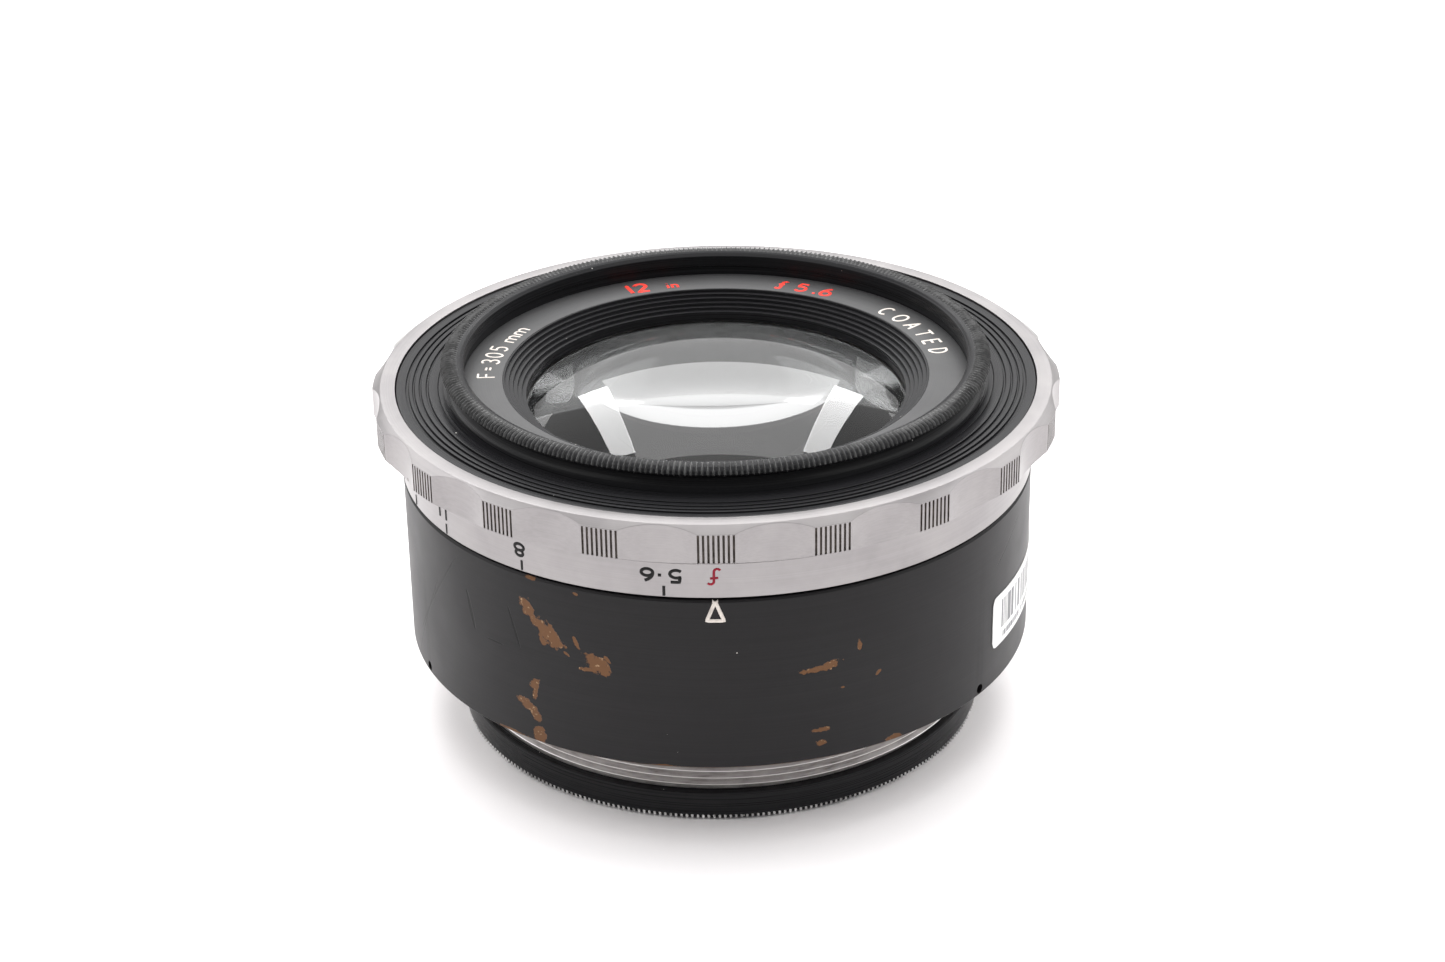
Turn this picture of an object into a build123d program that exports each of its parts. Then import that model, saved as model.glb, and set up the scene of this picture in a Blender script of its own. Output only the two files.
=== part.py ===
"""Barrel lens of 12 inch focal length: a lacquered brass barrel with a scalloped aluminium
aperture ring, a twelve-bladed iris that the ring drives, and a black front and rear cell.

The frame's origin is at the centre of the rear rim's bottom face. +Z runs along the lens axis
towards the front glass, and the index mark is on the -Y side. Azimuths are in degrees about +Z,
counted from +X, so the index is at -90. Lengths are in millimetres.
"""
import os
from math import cos, inf, radians, sin, sqrt, tan

from build123d import *

os.makedirs("parts", exist_ok=True)

# ---- Driving dimensions ----------------------------------------------------------------------
index_azimuth = -90.0
running_gap = 0.08             # radial clearance where one piece turns on another
seat_gap = 0.02                # radial clearance of a piece screwed or pressed into another
ring_gap = 0.15                # between the aperture ring and the fixed faces beside it
face_gap = 0.2                 # axial clearance between inner pieces that pass each other
overcut = 1.0                  # how far a cut runs past the surface that it opens

# Aperture ring and barrel
ring_top = 60.7                # height of the aperture ring's top face
land_radius = 58.0             # over the finger lands
scale_radius = 53.6            # the engraved scale band under the lands
scale_bottom = 46.35
scale_top = 52.3
land_bottom = 54.75            # where the underside's cone meets the lands
ring_face_inner = 54.05        # inner edge of the flat top face
ring_face_outer = 56.55        # outer edge of the flat top face
top_chamfer = 1.05
land_count = 20
scallop_depth = 1.25
scallop_radius = 21.1
barrel_radius = 53.55
barrel_bottom = 15.2
barrel_top = 45.8
barrel_bore = 50.5
barrel_chamfer = 0.35
web_thickness = 3.0            # joins the outer shell to the inner tube
tube_radius = 49.3             # inner tube: the aperture ring turns on it
tube_bore = 46.6
tube_top = 57.4
tube_bottom = 29.5
ledge_bore = 43.5              # ledge at the tube's foot that carries the iris
ledge_top = 32.0

# Iris: the blades are helical crescents, so that each rests above the next all the way round
ring_travel = 79.0             # turn of the aperture ring from rest to its smallest stop
blade_ratio = 0.49             # a blade's turn for each degree of the ring's
blade_count = 12
pivot_radius = 34.0
blade_width = 10.0
blade_thickness = 0.08
blade_span = 142.0             # from the pivot pin to the drive pin, about the lens axis
blade_rise = 0.024             # height gained for each degree along the blade
blade_margin = 12.0            # the ramp runs this many degrees past each pin before trimming
blade_pivot_height = 33.7
pin_radius = 0.75
pin_play = 0.05
pin_inset = 0.1                # the pivot pin's foot lies this far inside the base plate
cam_slot_play = 0.12
cam_slot_steps = 8
stop_radius = 26.5             # the full opening, set by the base plate
base_plate_thickness = 1.2
cam_plate_bottom = 38.0
cam_plate_thickness = 1.4
cam_plate_bore = 28.5
cam_tube_wall = 1.5
cam_tube_top = 51.2
iris_ring_thickness = 2.0
iris_ring_width = 4.5

# Front of the lens
flange_top = 60.4
rib_depth = 0.45
neck_radius = 43.9
neck_bore = 42.8
neck_top = 62.4
collar_drop = 0.1              # the cell's collar lies this far below the flange's face
collar_radius = 46.8
rim_radius = 46.3              # over the knurl
rim_bottom = 63.4
rim_top = 65.2
front_bore = 42.4              # accessory thread inside the rim
name_ring_inner = 36.0
name_ring_thickness = 1.5
glass_clear_radius = 32.1
front_cell_bore = 33.7
front_cell_bottom = 40.6
front_cell_wall = 3.0
front_lip_radius = 29.6        # lip at the cell's foot that holds the negative element
front_lip_thickness = 1.4
retainer_seat = 56.0
neck_flare = 2.0
rim_foot_chamfer = 0.3
rim_band_lean = 0.9            # how far the knurled band leans in
rim_mouth_chamfer = 0.8
rim_crown = 0.1                # the top face falls this much towards the mouth

# Rear of the lens
thread_radius = 44.45          # crest of the mounting thread, 3.5 inches across
thread_pitch = 25.4 / 20
thread_depth = 0.6
thread_run_in = 0.3
thread_crest_share = 0.2       # share of the pitch that is flat crest
thread_flank_share = 0.4
sleeve_bore = 41.0
sleeve_flange_top = 20.2
rear_rim_radius = 45.2
rear_rim_height = 5.35
rear_cell_bore = 32.2
rear_clear_radius = 30.8
rear_mouth_radius = 35.0
rear_rim_chamfer = 0.4
rear_rim_back_chamfer = 0.2

# Small pieces
set_screw_radius = 0.8
set_screw_height = 16.5
set_screw_azimuth = index_azimuth - 66.0
set_screw_sink = 0.9
set_screw_length = 4.5
set_screw_hole_depth = 5.0
set_screw_slot = 0.3
set_screw_slot_depth = 0.5
drive_screw_radius = 1.0
drive_screw_head_radius = 1.9
drive_screw_head_depth = 1.2
drive_screw_head_sink = 0.2
drive_screw_inset = 0.1        # the shank's end lies this far inside the cam ring's wall
drive_screw_play = 0.15        # clearance in the barrel's slot
drive_screw_slot = 0.45
drive_screw_slot_depth = 0.6
drive_screw_height = 49.4
drive_screw_azimuth = index_azimuth + 180
label_bottom = 22.0
label_height = 9.5
label_start = index_azimuth + 58.0
label_sweep = 34.0
label_thickness = 0.12
label_corner = 1.2


# ---- Helpers ---------------------------------------------------------------------------------
def on_circle(radius, azimuth):
    """A point in plan, at a radius and an azimuth."""
    return radius * cos(radians(azimuth)), radius * sin(radians(azimuth))


def radial_plane(radius, azimuth, height):
    """A plane that faces straight out from the lens axis."""
    x, y = on_circle(radius, azimuth)
    return Plane(origin=(x, y, height), x_dir=(-y, x, 0), z_dir=(x, y, 0))


def axial_plane(azimuth):
    """A plane through the lens axis: its x runs out at the azimuth and its y is +Z."""
    x, y = on_circle(1, azimuth)
    return Plane(origin=(0, 0, 0), x_dir=(x, y, 0), z_dir=(y, -x, 0))


def sag(curvature_radius, height):
    """How far a spherical surface falls back at a height from the axis."""
    if curvature_radius == inf:
        return 0.0
    side = 1 if curvature_radius > 0 else -1
    return curvature_radius - side * sqrt(curvature_radius**2 - height**2)


def save(part, label):
    part.label = label
    export_step(part, f"parts/{label}.step")


# ---- Barrel ----------------------------------------------------------------------------------
web_bottom = barrel_top - web_thickness
with BuildPart() as main_barrel:
    with BuildSketch(Plane.XZ):
        with BuildLine():
            Polyline(
                (barrel_bore, barrel_bottom),
                (barrel_radius - barrel_chamfer, barrel_bottom),
                (barrel_radius, barrel_bottom + barrel_chamfer),
                (barrel_radius, barrel_top - barrel_chamfer),
                (barrel_radius - barrel_chamfer, barrel_top),
                (tube_radius, barrel_top),
                (tube_radius, tube_top),
                (tube_bore, tube_top),
                (tube_bore, ledge_top),
                (ledge_bore, ledge_top),
                (ledge_bore, tube_bottom),
                (tube_radius, tube_bottom),
                (tube_radius, web_bottom),
                (barrel_bore, web_bottom),
                close=True,
            )
        make_face()
    revolve(axis=Axis.Z)
    # Slot in the inner tube that the ring's drive screw travels along
    slot_half_height = drive_screw_radius + drive_screw_play
    slot_inner = tube_bore - overcut
    with BuildSketch(axial_plane(drive_screw_azimuth)):
        with Locations(((slot_inner + barrel_bore) / 2, drive_screw_height)):
            Rectangle(barrel_bore - slot_inner, 2 * slot_half_height)
    revolve(axis=Axis.Z, revolution_arc=ring_travel, mode=Mode.SUBTRACT)
    for slot_end in (0, ring_travel):
        with BuildSketch(radial_plane(slot_inner, drive_screw_azimuth + slot_end, drive_screw_height)):
            Circle(slot_half_height)
        extrude(amount=barrel_bore - slot_inner, mode=Mode.SUBTRACT)
    for turn in (0, 120, 240):
        with BuildSketch(radial_plane(barrel_bore - overcut, set_screw_azimuth + turn, set_screw_height)):
            Circle(set_screw_radius + seat_gap)
        extrude(amount=barrel_radius - barrel_bore + 2 * overcut, mode=Mode.SUBTRACT)
save(main_barrel.part, "main_barrel")

# ---- Mounting sleeve -------------------------------------------------------------------------
# The thread is drawn as even V grooves, one for each turn
thread_turns = int((barrel_bottom - rear_rim_height) / thread_pitch)
thread_outline = []
for turn in range(thread_turns):
    crest = rear_rim_height + thread_run_in + turn * thread_pitch
    crest_end = crest + thread_pitch * thread_crest_share
    thread_outline += [(thread_radius, crest), (thread_radius, crest_end),
                       (thread_radius - thread_depth, crest_end + thread_pitch * thread_flank_share)]
sleeve_shoulder = barrel_bottom + thread_run_in
with BuildPart() as mount_sleeve:
    with BuildSketch(Plane.XZ):
        with BuildLine():
            Polyline(
                (sleeve_bore, rear_rim_height),
                (thread_radius - thread_depth, rear_rim_height),
                *thread_outline,
                (thread_radius - thread_depth, sleeve_shoulder),
                (barrel_bore - seat_gap, sleeve_shoulder),
                (barrel_bore - seat_gap, sleeve_flange_top),
                (sleeve_bore, sleeve_flange_top),
                close=True,
            )
        make_face()
    revolve(axis=Axis.Z)
    for turn in (0, 120, 240):
        with BuildSketch(radial_plane(barrel_bore + overcut, set_screw_azimuth + turn, set_screw_height)):
            Circle(set_screw_radius + seat_gap)
        extrude(amount=-set_screw_hole_depth, mode=Mode.SUBTRACT)
save(mount_sleeve.part, "mount_sleeve")

# ---- Set screws that lock the sleeve into the barrel -----------------------------------------
set_screw_outer = barrel_radius - set_screw_sink
with BuildPart() as barrel_set_screws:
    for turn in (0, 120, 240):
        screw_plane = radial_plane(set_screw_outer, set_screw_azimuth + turn, set_screw_height)
        with BuildSketch(screw_plane):
            Circle(set_screw_radius)
        extrude(amount=-set_screw_length)
        with BuildSketch(screw_plane):
            Rectangle(3 * set_screw_radius, set_screw_slot)
        extrude(amount=-set_screw_slot_depth, mode=Mode.SUBTRACT)
save(barrel_set_screws.part, "barrel_set_screws")

# ---- Aperture ring ---------------------------------------------------------------------------
ring_bore = tube_radius + running_gap
ring_seat = tube_top - face_gap     # clears the front flange above it
ring_foot = barrel_top + ring_gap   # clears the barrel below it
with BuildPart() as aperture_ring:
    with BuildSketch(Plane.XZ):
        with BuildLine():
            Polyline(
                (ring_bore, ring_foot),
                (barrel_bore, ring_foot),
                (barrel_bore, scale_bottom),
                (scale_radius, scale_bottom),
                (scale_radius, scale_top),
                (land_radius, land_bottom),
                (land_radius, ring_top - top_chamfer),
                (ring_face_outer, ring_top),
                (ring_face_inner, ring_top),
                (ring_face_inner, ring_seat),
                (ring_bore, ring_seat),
                close=True,
            )
        make_face()
    revolve(axis=Axis.Z)
    # Finger scallops, half-way between the lands
    with BuildSketch(Plane.XY.offset(scale_top)):
        scallop_centre = land_radius - scallop_depth + scallop_radius
        first_scallop = index_azimuth + 180 / land_count
        with PolarLocations(scallop_centre, land_count, start_angle=first_scallop):
            Circle(scallop_radius)
    extrude(amount=ring_top - scale_top, mode=Mode.SUBTRACT)
    # Hole and counterbore for the drive screw
    with BuildSketch(radial_plane(ring_bore - overcut, drive_screw_azimuth, drive_screw_height)):
        Circle(drive_screw_radius + seat_gap)
    extrude(amount=scale_radius - ring_bore + 2 * overcut, mode=Mode.SUBTRACT)
    head_seat = scale_radius - drive_screw_head_depth - drive_screw_head_sink
    with BuildSketch(radial_plane(head_seat, drive_screw_azimuth, drive_screw_height)):
        Circle(drive_screw_head_radius + seat_gap)
    extrude(amount=scale_radius - head_seat + overcut, mode=Mode.SUBTRACT)
save(aperture_ring.part, "aperture_ring")

# ---- Cam ring: carries the drive pins' slots and follows the aperture ring ---------------------
cam_tube_radius = tube_bore - running_gap
cam_tube_bore = cam_tube_radius - cam_tube_wall
cam_plate_top = cam_plate_bottom + cam_plate_thickness


def drive_pin_in_ring(ring_turn):
    """Where a drive pin stands in the cam ring's own frame once the ring has turned."""
    blade_turn = blade_ratio * ring_turn
    home_x, home_y = on_circle(pivot_radius, blade_span)
    reach = sqrt((home_x - pivot_radius) ** 2 + home_y**2)
    aim = 90 + blade_span / 2 + blade_turn
    pin_x = pivot_radius + reach * cos(radians(aim))
    pin_y = reach * sin(radians(aim))
    turned = radians(-ring_turn)
    return (pin_x * cos(turned) - pin_y * sin(turned), pin_x * sin(turned) + pin_y * cos(turned))


with BuildPart() as cam_ring:
    with BuildSketch(Plane.XZ):
        with BuildLine():
            Polyline(
                (cam_plate_bore, cam_plate_bottom),
                (cam_tube_radius, cam_plate_bottom),
                (cam_tube_radius, cam_tube_top),
                (cam_tube_bore, cam_tube_top),
                (cam_tube_bore, cam_plate_top),
                (cam_plate_bore, cam_plate_top),
                close=True,
            )
        make_face()
    revolve(axis=Axis.Z)
    # One slot for each blade: the hull of the pin's places along the ring's travel
    with BuildSketch() as cam_slot:
        slot_stations = [
            drive_pin_in_ring(ring_travel * step / cam_slot_steps) for step in range(cam_slot_steps + 1)
        ]
        with Locations(*slot_stations):
            Circle(pin_radius + cam_slot_play)
        make_hull()
    with BuildSketch(Plane.XY.offset(cam_plate_bottom - overcut)):
        with PolarLocations(0, blade_count):
            add(cam_slot.sketch)
    extrude(amount=cam_plate_thickness + 2 * overcut, mode=Mode.SUBTRACT)
    # Tapped hole for the drive screw
    with BuildSketch(radial_plane(cam_tube_bore - overcut, drive_screw_azimuth, drive_screw_height)):
        Circle(drive_screw_radius + seat_gap)
    extrude(amount=cam_tube_wall + 2 * overcut, mode=Mode.SUBTRACT)
save(cam_ring.part, "cam_ring")

# ---- Drive screw -----------------------------------------------------------------------------
with BuildPart() as drive_screw:
    shank_end = cam_tube_bore + drive_screw_inset
    with BuildSketch(radial_plane(shank_end, drive_screw_azimuth, drive_screw_height)):
        Circle(drive_screw_radius)
    extrude(amount=head_seat + drive_screw_head_depth / 2 - shank_end)
    head_plane = radial_plane(head_seat + seat_gap, drive_screw_azimuth, drive_screw_height)
    with BuildSketch(head_plane):
        Circle(drive_screw_head_radius)
    extrude(amount=drive_screw_head_depth)
    with BuildSketch(head_plane.offset(drive_screw_head_depth)):
        Rectangle(3 * drive_screw_head_radius, drive_screw_slot)
    extrude(amount=-drive_screw_slot_depth, mode=Mode.SUBTRACT)
save(drive_screw.part, "drive_screw")

# ---- Iris ------------------------------------------------------------------------------------
with BuildPart() as iris_base_plate:
    with BuildSketch(Plane.XY.offset(ledge_top)):
        Circle(tube_bore - seat_gap)
        Circle(stop_radius, mode=Mode.SUBTRACT)
        with PolarLocations(pivot_radius, blade_count):
            Circle(pin_radius + pin_play, mode=Mode.SUBTRACT)
    extrude(amount=base_plate_thickness)
save(iris_base_plate.part, "iris_base_plate")

ramp_start = blade_pivot_height - blade_margin * blade_rise
ramp_turn = blade_span + 2 * blade_margin
with BuildPart() as iris_blade:
    with BuildLine():
        Helix(
            pitch=360 * blade_rise,
            height=ramp_turn * blade_rise,
            radius=pivot_radius,
            center=(0, 0, ramp_start),
        )
    with BuildSketch(Plane(origin=(pivot_radius, 0, ramp_start), x_dir=(1, 0, 0), z_dir=(0, -1, 0))):
        Rectangle(blade_width + 2 * overcut, blade_thickness)
    sweep(is_frenet=True)
    with BuildSketch(Plane.XY.offset(ledge_top)):
        SlotArc(CenterArc((0, 0), pivot_radius, blade_margin, blade_span, mode=Mode.PRIVATE), blade_width)
    extrude(amount=cam_plate_top - ledge_top, mode=Mode.INTERSECT)
    # Pivot pin, down into the base plate, and drive pin, up into the cam ring
    with BuildSketch(Plane.XY.offset(ledge_top + pin_inset)):
        with Locations(on_circle(pivot_radius, blade_margin)):
            Circle(pin_radius)
    extrude(amount=blade_pivot_height - ledge_top - pin_inset)
    drive_pin_foot = blade_pivot_height + blade_span * blade_rise
    with BuildSketch(Plane.XY.offset(drive_pin_foot)):
        with Locations(on_circle(pivot_radius, blade_margin + blade_span)):
            Circle(pin_radius)
    extrude(amount=cam_plate_top - face_gap - drive_pin_foot)
for number in range(blade_count):
    turned_blade = iris_blade.part.rotate(Axis.Z, number * 360 / blade_count - blade_margin)
    save(turned_blade, f"iris_blade_{number + 1:02d}")

with BuildPart() as iris_retaining_ring:
    with BuildSketch(Plane.XY.offset(cam_tube_top + face_gap)):
        Circle(tube_bore - seat_gap)
        Circle(tube_bore - iris_ring_width, mode=Mode.SUBTRACT)
    extrude(amount=iris_ring_thickness)
save(iris_retaining_ring.part, "iris_retaining_ring")

# ---- Front flange: a ribbed black ring that closes the aperture ring's well ---------------------
# Radii of its grooves, from the outside in, with each groove's width
rib_grooves = ((52.0, 0.5), (50.95, 0.35), (49.85, 0.35), (48.65, 0.4))
flange_chamfer = 0.2
flange_outer = ring_face_inner - ring_gap
flange_inner = collar_radius + seat_gap
with BuildPart() as front_flange:
    with BuildSketch(Plane.XY.offset(tube_top)):
        Circle(flange_outer)
        Circle(flange_inner, mode=Mode.SUBTRACT)
    extrude(amount=flange_top - tube_top)
    chamfer(front_flange.edges().filter_by(GeomType.CIRCLE).group_by(Axis.Z)[-1], flange_chamfer)
    for groove_radius, groove_width in rib_grooves:
        with BuildSketch(Plane.XY.offset(flange_top)):
            Circle(groove_radius + groove_width / 2)
            Circle(groove_radius - groove_width / 2, mode=Mode.SUBTRACT)
        extrude(amount=-rib_depth, mode=Mode.SUBTRACT)
save(front_flange.part, "front_flange")

# ---- Front cell ------------------------------------------------------------------------------
cell_flange_bottom = cam_tube_top + iris_ring_thickness + 2 * face_gap
front_cell_radius = front_cell_bore + front_cell_wall
front_lip_top = front_cell_bottom + front_lip_thickness
retainer_bore = name_ring_inner + face_gap
collar_top = flange_top - collar_drop
name_ring_seat = ring_top - name_ring_thickness
with BuildPart() as front_cell:
    with BuildSketch(Plane.XZ):
        with BuildLine():
            Polyline(
                (neck_radius, collar_top + neck_flare),
                (neck_radius, neck_top),
                (neck_bore, neck_top),
                (neck_bore, name_ring_seat),
                (retainer_bore, name_ring_seat),
                (retainer_bore, retainer_seat),
                (front_cell_bore, retainer_seat),
                (front_cell_bore, front_lip_top),
                (front_lip_radius, front_lip_top),
                (front_lip_radius, front_cell_bottom),
                (front_cell_radius, front_cell_bottom),
                (front_cell_radius, cell_flange_bottom),
                (tube_bore - seat_gap, cell_flange_bottom),
                (tube_bore - seat_gap, tube_top + seat_gap),
                (collar_radius, tube_top + seat_gap),
                (collar_radius, collar_top),
                (neck_radius + neck_flare, collar_top),
            )
            RadiusArc(
                (neck_radius + neck_flare, collar_top),
                (neck_radius, collar_top + neck_flare),
                neck_flare,
            )
        make_face()
    revolve(axis=Axis.Z)
save(front_cell.part, "front_cell")

# ---- Knurled front rim -----------------------------------------------------------------------
with BuildPart() as front_rim:
    with BuildSketch(Plane.XZ):
        with BuildLine():
            Polyline(
                (front_bore, neck_top + seat_gap),
                (neck_radius, neck_top + seat_gap),
                (neck_radius, rim_bottom),
                (rim_radius - rim_foot_chamfer, rim_bottom),
                (rim_radius, rim_bottom + rim_foot_chamfer),
                (rim_radius - rim_band_lean, rim_top),
                (front_bore + rim_mouth_chamfer, rim_top - rim_crown),
                (front_bore, rim_top - rim_mouth_chamfer),
                close=True,
            )
        make_face()
    revolve(axis=Axis.Z)
save(front_rim.part, "front_rim")

# ---- Name ring -------------------------------------------------------------------------------
with BuildPart() as name_ring:
    with BuildSketch(Plane.XY.offset(name_ring_seat)):
        Circle(neck_bore - seat_gap)
        Circle(name_ring_inner, mode=Mode.SUBTRACT)
    extrude(amount=name_ring_thickness)
save(name_ring.part, "name_ring")

# ---- Front retaining ring: stepped down to the glass as a light baffle -------------------------
step_count = 5
step_width = 0.7
step_drop = 0.58
step_land = 0.35               # flat land outside the first step
retainer_outer = name_ring_inner - seat_gap
step_outline = [(retainer_outer, ring_top)]
for step in range(step_count):
    step_outer = retainer_outer - step_land - step * step_width
    step_height = ring_top - step * step_drop
    step_outline += [(step_outer, step_height), (step_outer, step_height - step_drop)]
lip_top = ring_top - step_count * step_drop
with BuildPart() as front_retaining_ring:
    with BuildSketch(Plane.XZ):
        with BuildLine():
            Polyline(
                (retainer_outer, retainer_seat + seat_gap),
                *step_outline,
                (glass_clear_radius, lip_top),
                (glass_clear_radius, retainer_seat + seat_gap),
                close=True,
            )
        make_face()
    revolve(axis=Axis.Z)
save(front_retaining_ring.part, "front_retaining_ring")


# ---- Glass: four elements in three groups ------------------------------------------------------
def make_element(label, radius, front, rear):
    """A lens element between two surfaces, each (vertex height, curvature radius, clear radius).

    A surface's curvature radius is positive when its centre lies towards -Z.
    """
    front_vertex, front_curve, front_clear = front
    rear_vertex, rear_curve, rear_clear = rear
    front_edge = front_vertex - sag(front_curve, front_clear)
    rear_edge = rear_vertex - sag(rear_curve, rear_clear)
    front_middle = (front_clear / 2, front_vertex - sag(front_curve, front_clear / 2))
    rear_middle = (rear_clear / 2, rear_vertex - sag(rear_curve, rear_clear / 2))
    with BuildPart() as element:
        with BuildSketch(Plane.XZ):
            with BuildLine():
                if front_curve == inf:
                    Line((0, front_vertex), (front_clear, front_edge))
                else:
                    ThreePointArc((0, front_vertex), front_middle, (front_clear, front_edge))
                Polyline((front_clear, front_edge), (radius, front_edge), (radius, rear_edge),
                         (rear_clear, rear_edge))
                if rear_curve == inf:
                    Line((rear_clear, rear_edge), (0, rear_vertex))
                else:
                    ThreePointArc((rear_clear, rear_edge), rear_middle, (0, rear_vertex))
                Line((0, rear_vertex), (0, front_vertex))
            make_face()
        revolve(axis=Axis.Z)
    save(element.part, label)


front_vertex = 62.2
front_curve = 85.0
front_element_rear = 52.7
front_glass_radius = front_cell_bore - seat_gap
make_element(
    "front_element",
    front_glass_radius,
    (front_vertex, front_curve, glass_clear_radius),
    (front_element_rear, inf, glass_clear_radius),
)
# The negative element stands on the cell's lip
negative_clear = 29.0
negative_rear_curve = 95.0
negative_rear_vertex = front_lip_top + seat_gap + sag(negative_rear_curve, negative_clear)
negative_thickness = 2.4
negative_front_vertex = negative_rear_vertex + negative_thickness
negative_front_curve = -150.0
make_element(
    "negative_element",
    front_glass_radius,
    (negative_front_vertex, negative_front_curve, negative_clear),
    (negative_rear_vertex, negative_rear_curve, negative_clear),
)
spacer_wall = 2.0
with BuildPart() as front_spacer:
    spacer_bottom = negative_front_vertex - sag(negative_front_curve, negative_clear) + seat_gap
    with BuildSketch(Plane.XY.offset(spacer_bottom)):
        Circle(front_glass_radius)
        Circle(front_glass_radius - spacer_wall, mode=Mode.SUBTRACT)
    extrude(amount=front_element_rear - seat_gap - spacer_bottom)
save(front_spacer.part, "front_spacer")

# ---- Rear cell and its cemented pair -----------------------------------------------------------
rear_lip_bottom = 6.4
rear_lip_top = 7.9
rear_cell_top = 20.0
with BuildPart() as rear_cell:
    with BuildSketch(Plane.XZ):
        with BuildLine():
            Polyline(
                (rear_mouth_radius, 0),
                (rear_rim_radius - rear_rim_chamfer, 0),
                (rear_rim_radius, rear_rim_chamfer),
                (rear_rim_radius, rear_rim_height - rear_rim_back_chamfer),
                (rear_rim_radius - rear_rim_back_chamfer, rear_rim_height - seat_gap),
                (sleeve_bore - seat_gap, rear_rim_height - seat_gap),
                (sleeve_bore - seat_gap, rear_cell_top),
                (rear_cell_bore, rear_cell_top),
                (rear_cell_bore, rear_lip_top),
                (rear_clear_radius, rear_lip_top),
                (rear_clear_radius, rear_lip_bottom),
                close=True,
            )
        make_face()
    revolve(axis=Axis.Z)
save(rear_cell.part, "rear_cell")

rear_glass_radius = rear_cell_bore - seat_gap
edge_bevel = 0.4
rear_positive_thickness = 9.0
rear_negative_thickness = 2.6
rear_ring_thickness = 2.2
cement_clear = rear_glass_radius - edge_bevel
rear_curve = -90.0
rear_vertex = rear_lip_top + seat_gap + sag(rear_curve, rear_clear_radius)
cement_curve = 400.0
cement_vertex = rear_vertex + rear_positive_thickness
pair_front_vertex = cement_vertex + rear_negative_thickness
pair_front_curve = -200.0
make_element(
    "rear_positive_element",
    rear_glass_radius,
    (cement_vertex, cement_curve, cement_clear),
    (rear_vertex, rear_curve, rear_clear_radius),
)
make_element(
    "rear_negative_element",
    rear_glass_radius,
    (pair_front_vertex, pair_front_curve, rear_clear_radius),
    (cement_vertex, cement_curve, cement_clear),
)
with BuildPart() as rear_retaining_ring:
    pair_edge = pair_front_vertex - sag(pair_front_curve, rear_clear_radius) + seat_gap
    with BuildSketch(Plane.XY.offset(pair_edge)):
        Circle(rear_glass_radius)
        Circle(rear_clear_radius, mode=Mode.SUBTRACT)
    extrude(amount=rear_ring_thickness)
save(rear_retaining_ring.part, "rear_retaining_ring")

# ---- Paper label on the barrel -----------------------------------------------------------------
with BuildPart() as paper_label:
    with BuildSketch(axial_plane(label_start)):
        with Locations((barrel_radius + seat_gap + label_thickness / 2, label_bottom + label_height / 2)):
            Rectangle(label_thickness, label_height)
    revolve(axis=Axis.Z, revolution_arc=label_sweep)
    fillet(paper_label.edges().filter_by(GeomType.LINE).sort_by(SortBy.LENGTH)[:4], label_corner)
save(paper_label.part, "paper_label")
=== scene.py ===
"""Finishes and fine shapes for a 12 inch barrel lens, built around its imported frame.

The frame's origin is at the centre of the rear rim, +Z runs towards the front glass and the
index mark is on the -Y side. Outlines are lists of (radius, height) in millimetres. Azimuths
are in degrees about +Z, counted from +X.
"""
from math import acos, atan2, cos, degrees, hypot, pi, radians, sin, sqrt

import bmesh
import bpy
from mathutils import Matrix, Vector


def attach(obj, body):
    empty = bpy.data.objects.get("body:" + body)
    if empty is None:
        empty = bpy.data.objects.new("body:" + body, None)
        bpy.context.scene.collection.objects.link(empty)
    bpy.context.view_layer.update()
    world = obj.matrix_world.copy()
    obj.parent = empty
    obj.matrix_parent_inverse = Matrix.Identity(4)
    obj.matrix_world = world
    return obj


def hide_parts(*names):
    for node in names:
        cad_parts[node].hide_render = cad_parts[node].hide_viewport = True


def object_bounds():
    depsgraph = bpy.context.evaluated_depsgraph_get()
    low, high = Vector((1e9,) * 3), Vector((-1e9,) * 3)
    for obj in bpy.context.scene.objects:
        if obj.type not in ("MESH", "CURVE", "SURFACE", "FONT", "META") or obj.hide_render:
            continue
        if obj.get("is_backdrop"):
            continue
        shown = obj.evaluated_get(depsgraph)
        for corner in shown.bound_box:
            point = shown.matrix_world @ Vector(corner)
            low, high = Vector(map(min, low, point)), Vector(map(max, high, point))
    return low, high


bl_info = {
    "name": "Barrel lens finisher",
    "version": (1, 0, 0),
    "blender": (4, 5, 0),
    "location": "3D View > Sidebar > Lens",
    "description": "Builds the turned, knurled, engraved and glass pieces of a barrel lens",
    "category": "Object",
}

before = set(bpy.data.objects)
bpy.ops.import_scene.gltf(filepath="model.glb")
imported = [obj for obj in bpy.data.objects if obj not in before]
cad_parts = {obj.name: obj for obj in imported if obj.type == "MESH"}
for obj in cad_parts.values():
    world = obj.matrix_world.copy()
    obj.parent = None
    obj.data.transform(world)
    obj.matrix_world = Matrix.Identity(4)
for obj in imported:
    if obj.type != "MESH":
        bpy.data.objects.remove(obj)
CAD_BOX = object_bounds()

MM = 0.001
INDEX_AZIMUTH = -90.0
BARREL_BODY = "lens_barrel"
RING_BODY = "aperture_control"
SHARP_ANGLE = radians(27)
CORNER_STEPS = 4


# ---- Sizes read from the frame -----------------------------------------------------------------
def turned_size(node):
    """Outer radius, inner radius, bottom and top of a turned node, in millimetres."""
    points = [vertex.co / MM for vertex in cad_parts[node].data.vertices]
    reaches = [hypot(point.x, point.y) for point in points]
    heights = [point.z for point in points]
    return max(reaches), min(reaches), min(heights), max(heights)


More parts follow.
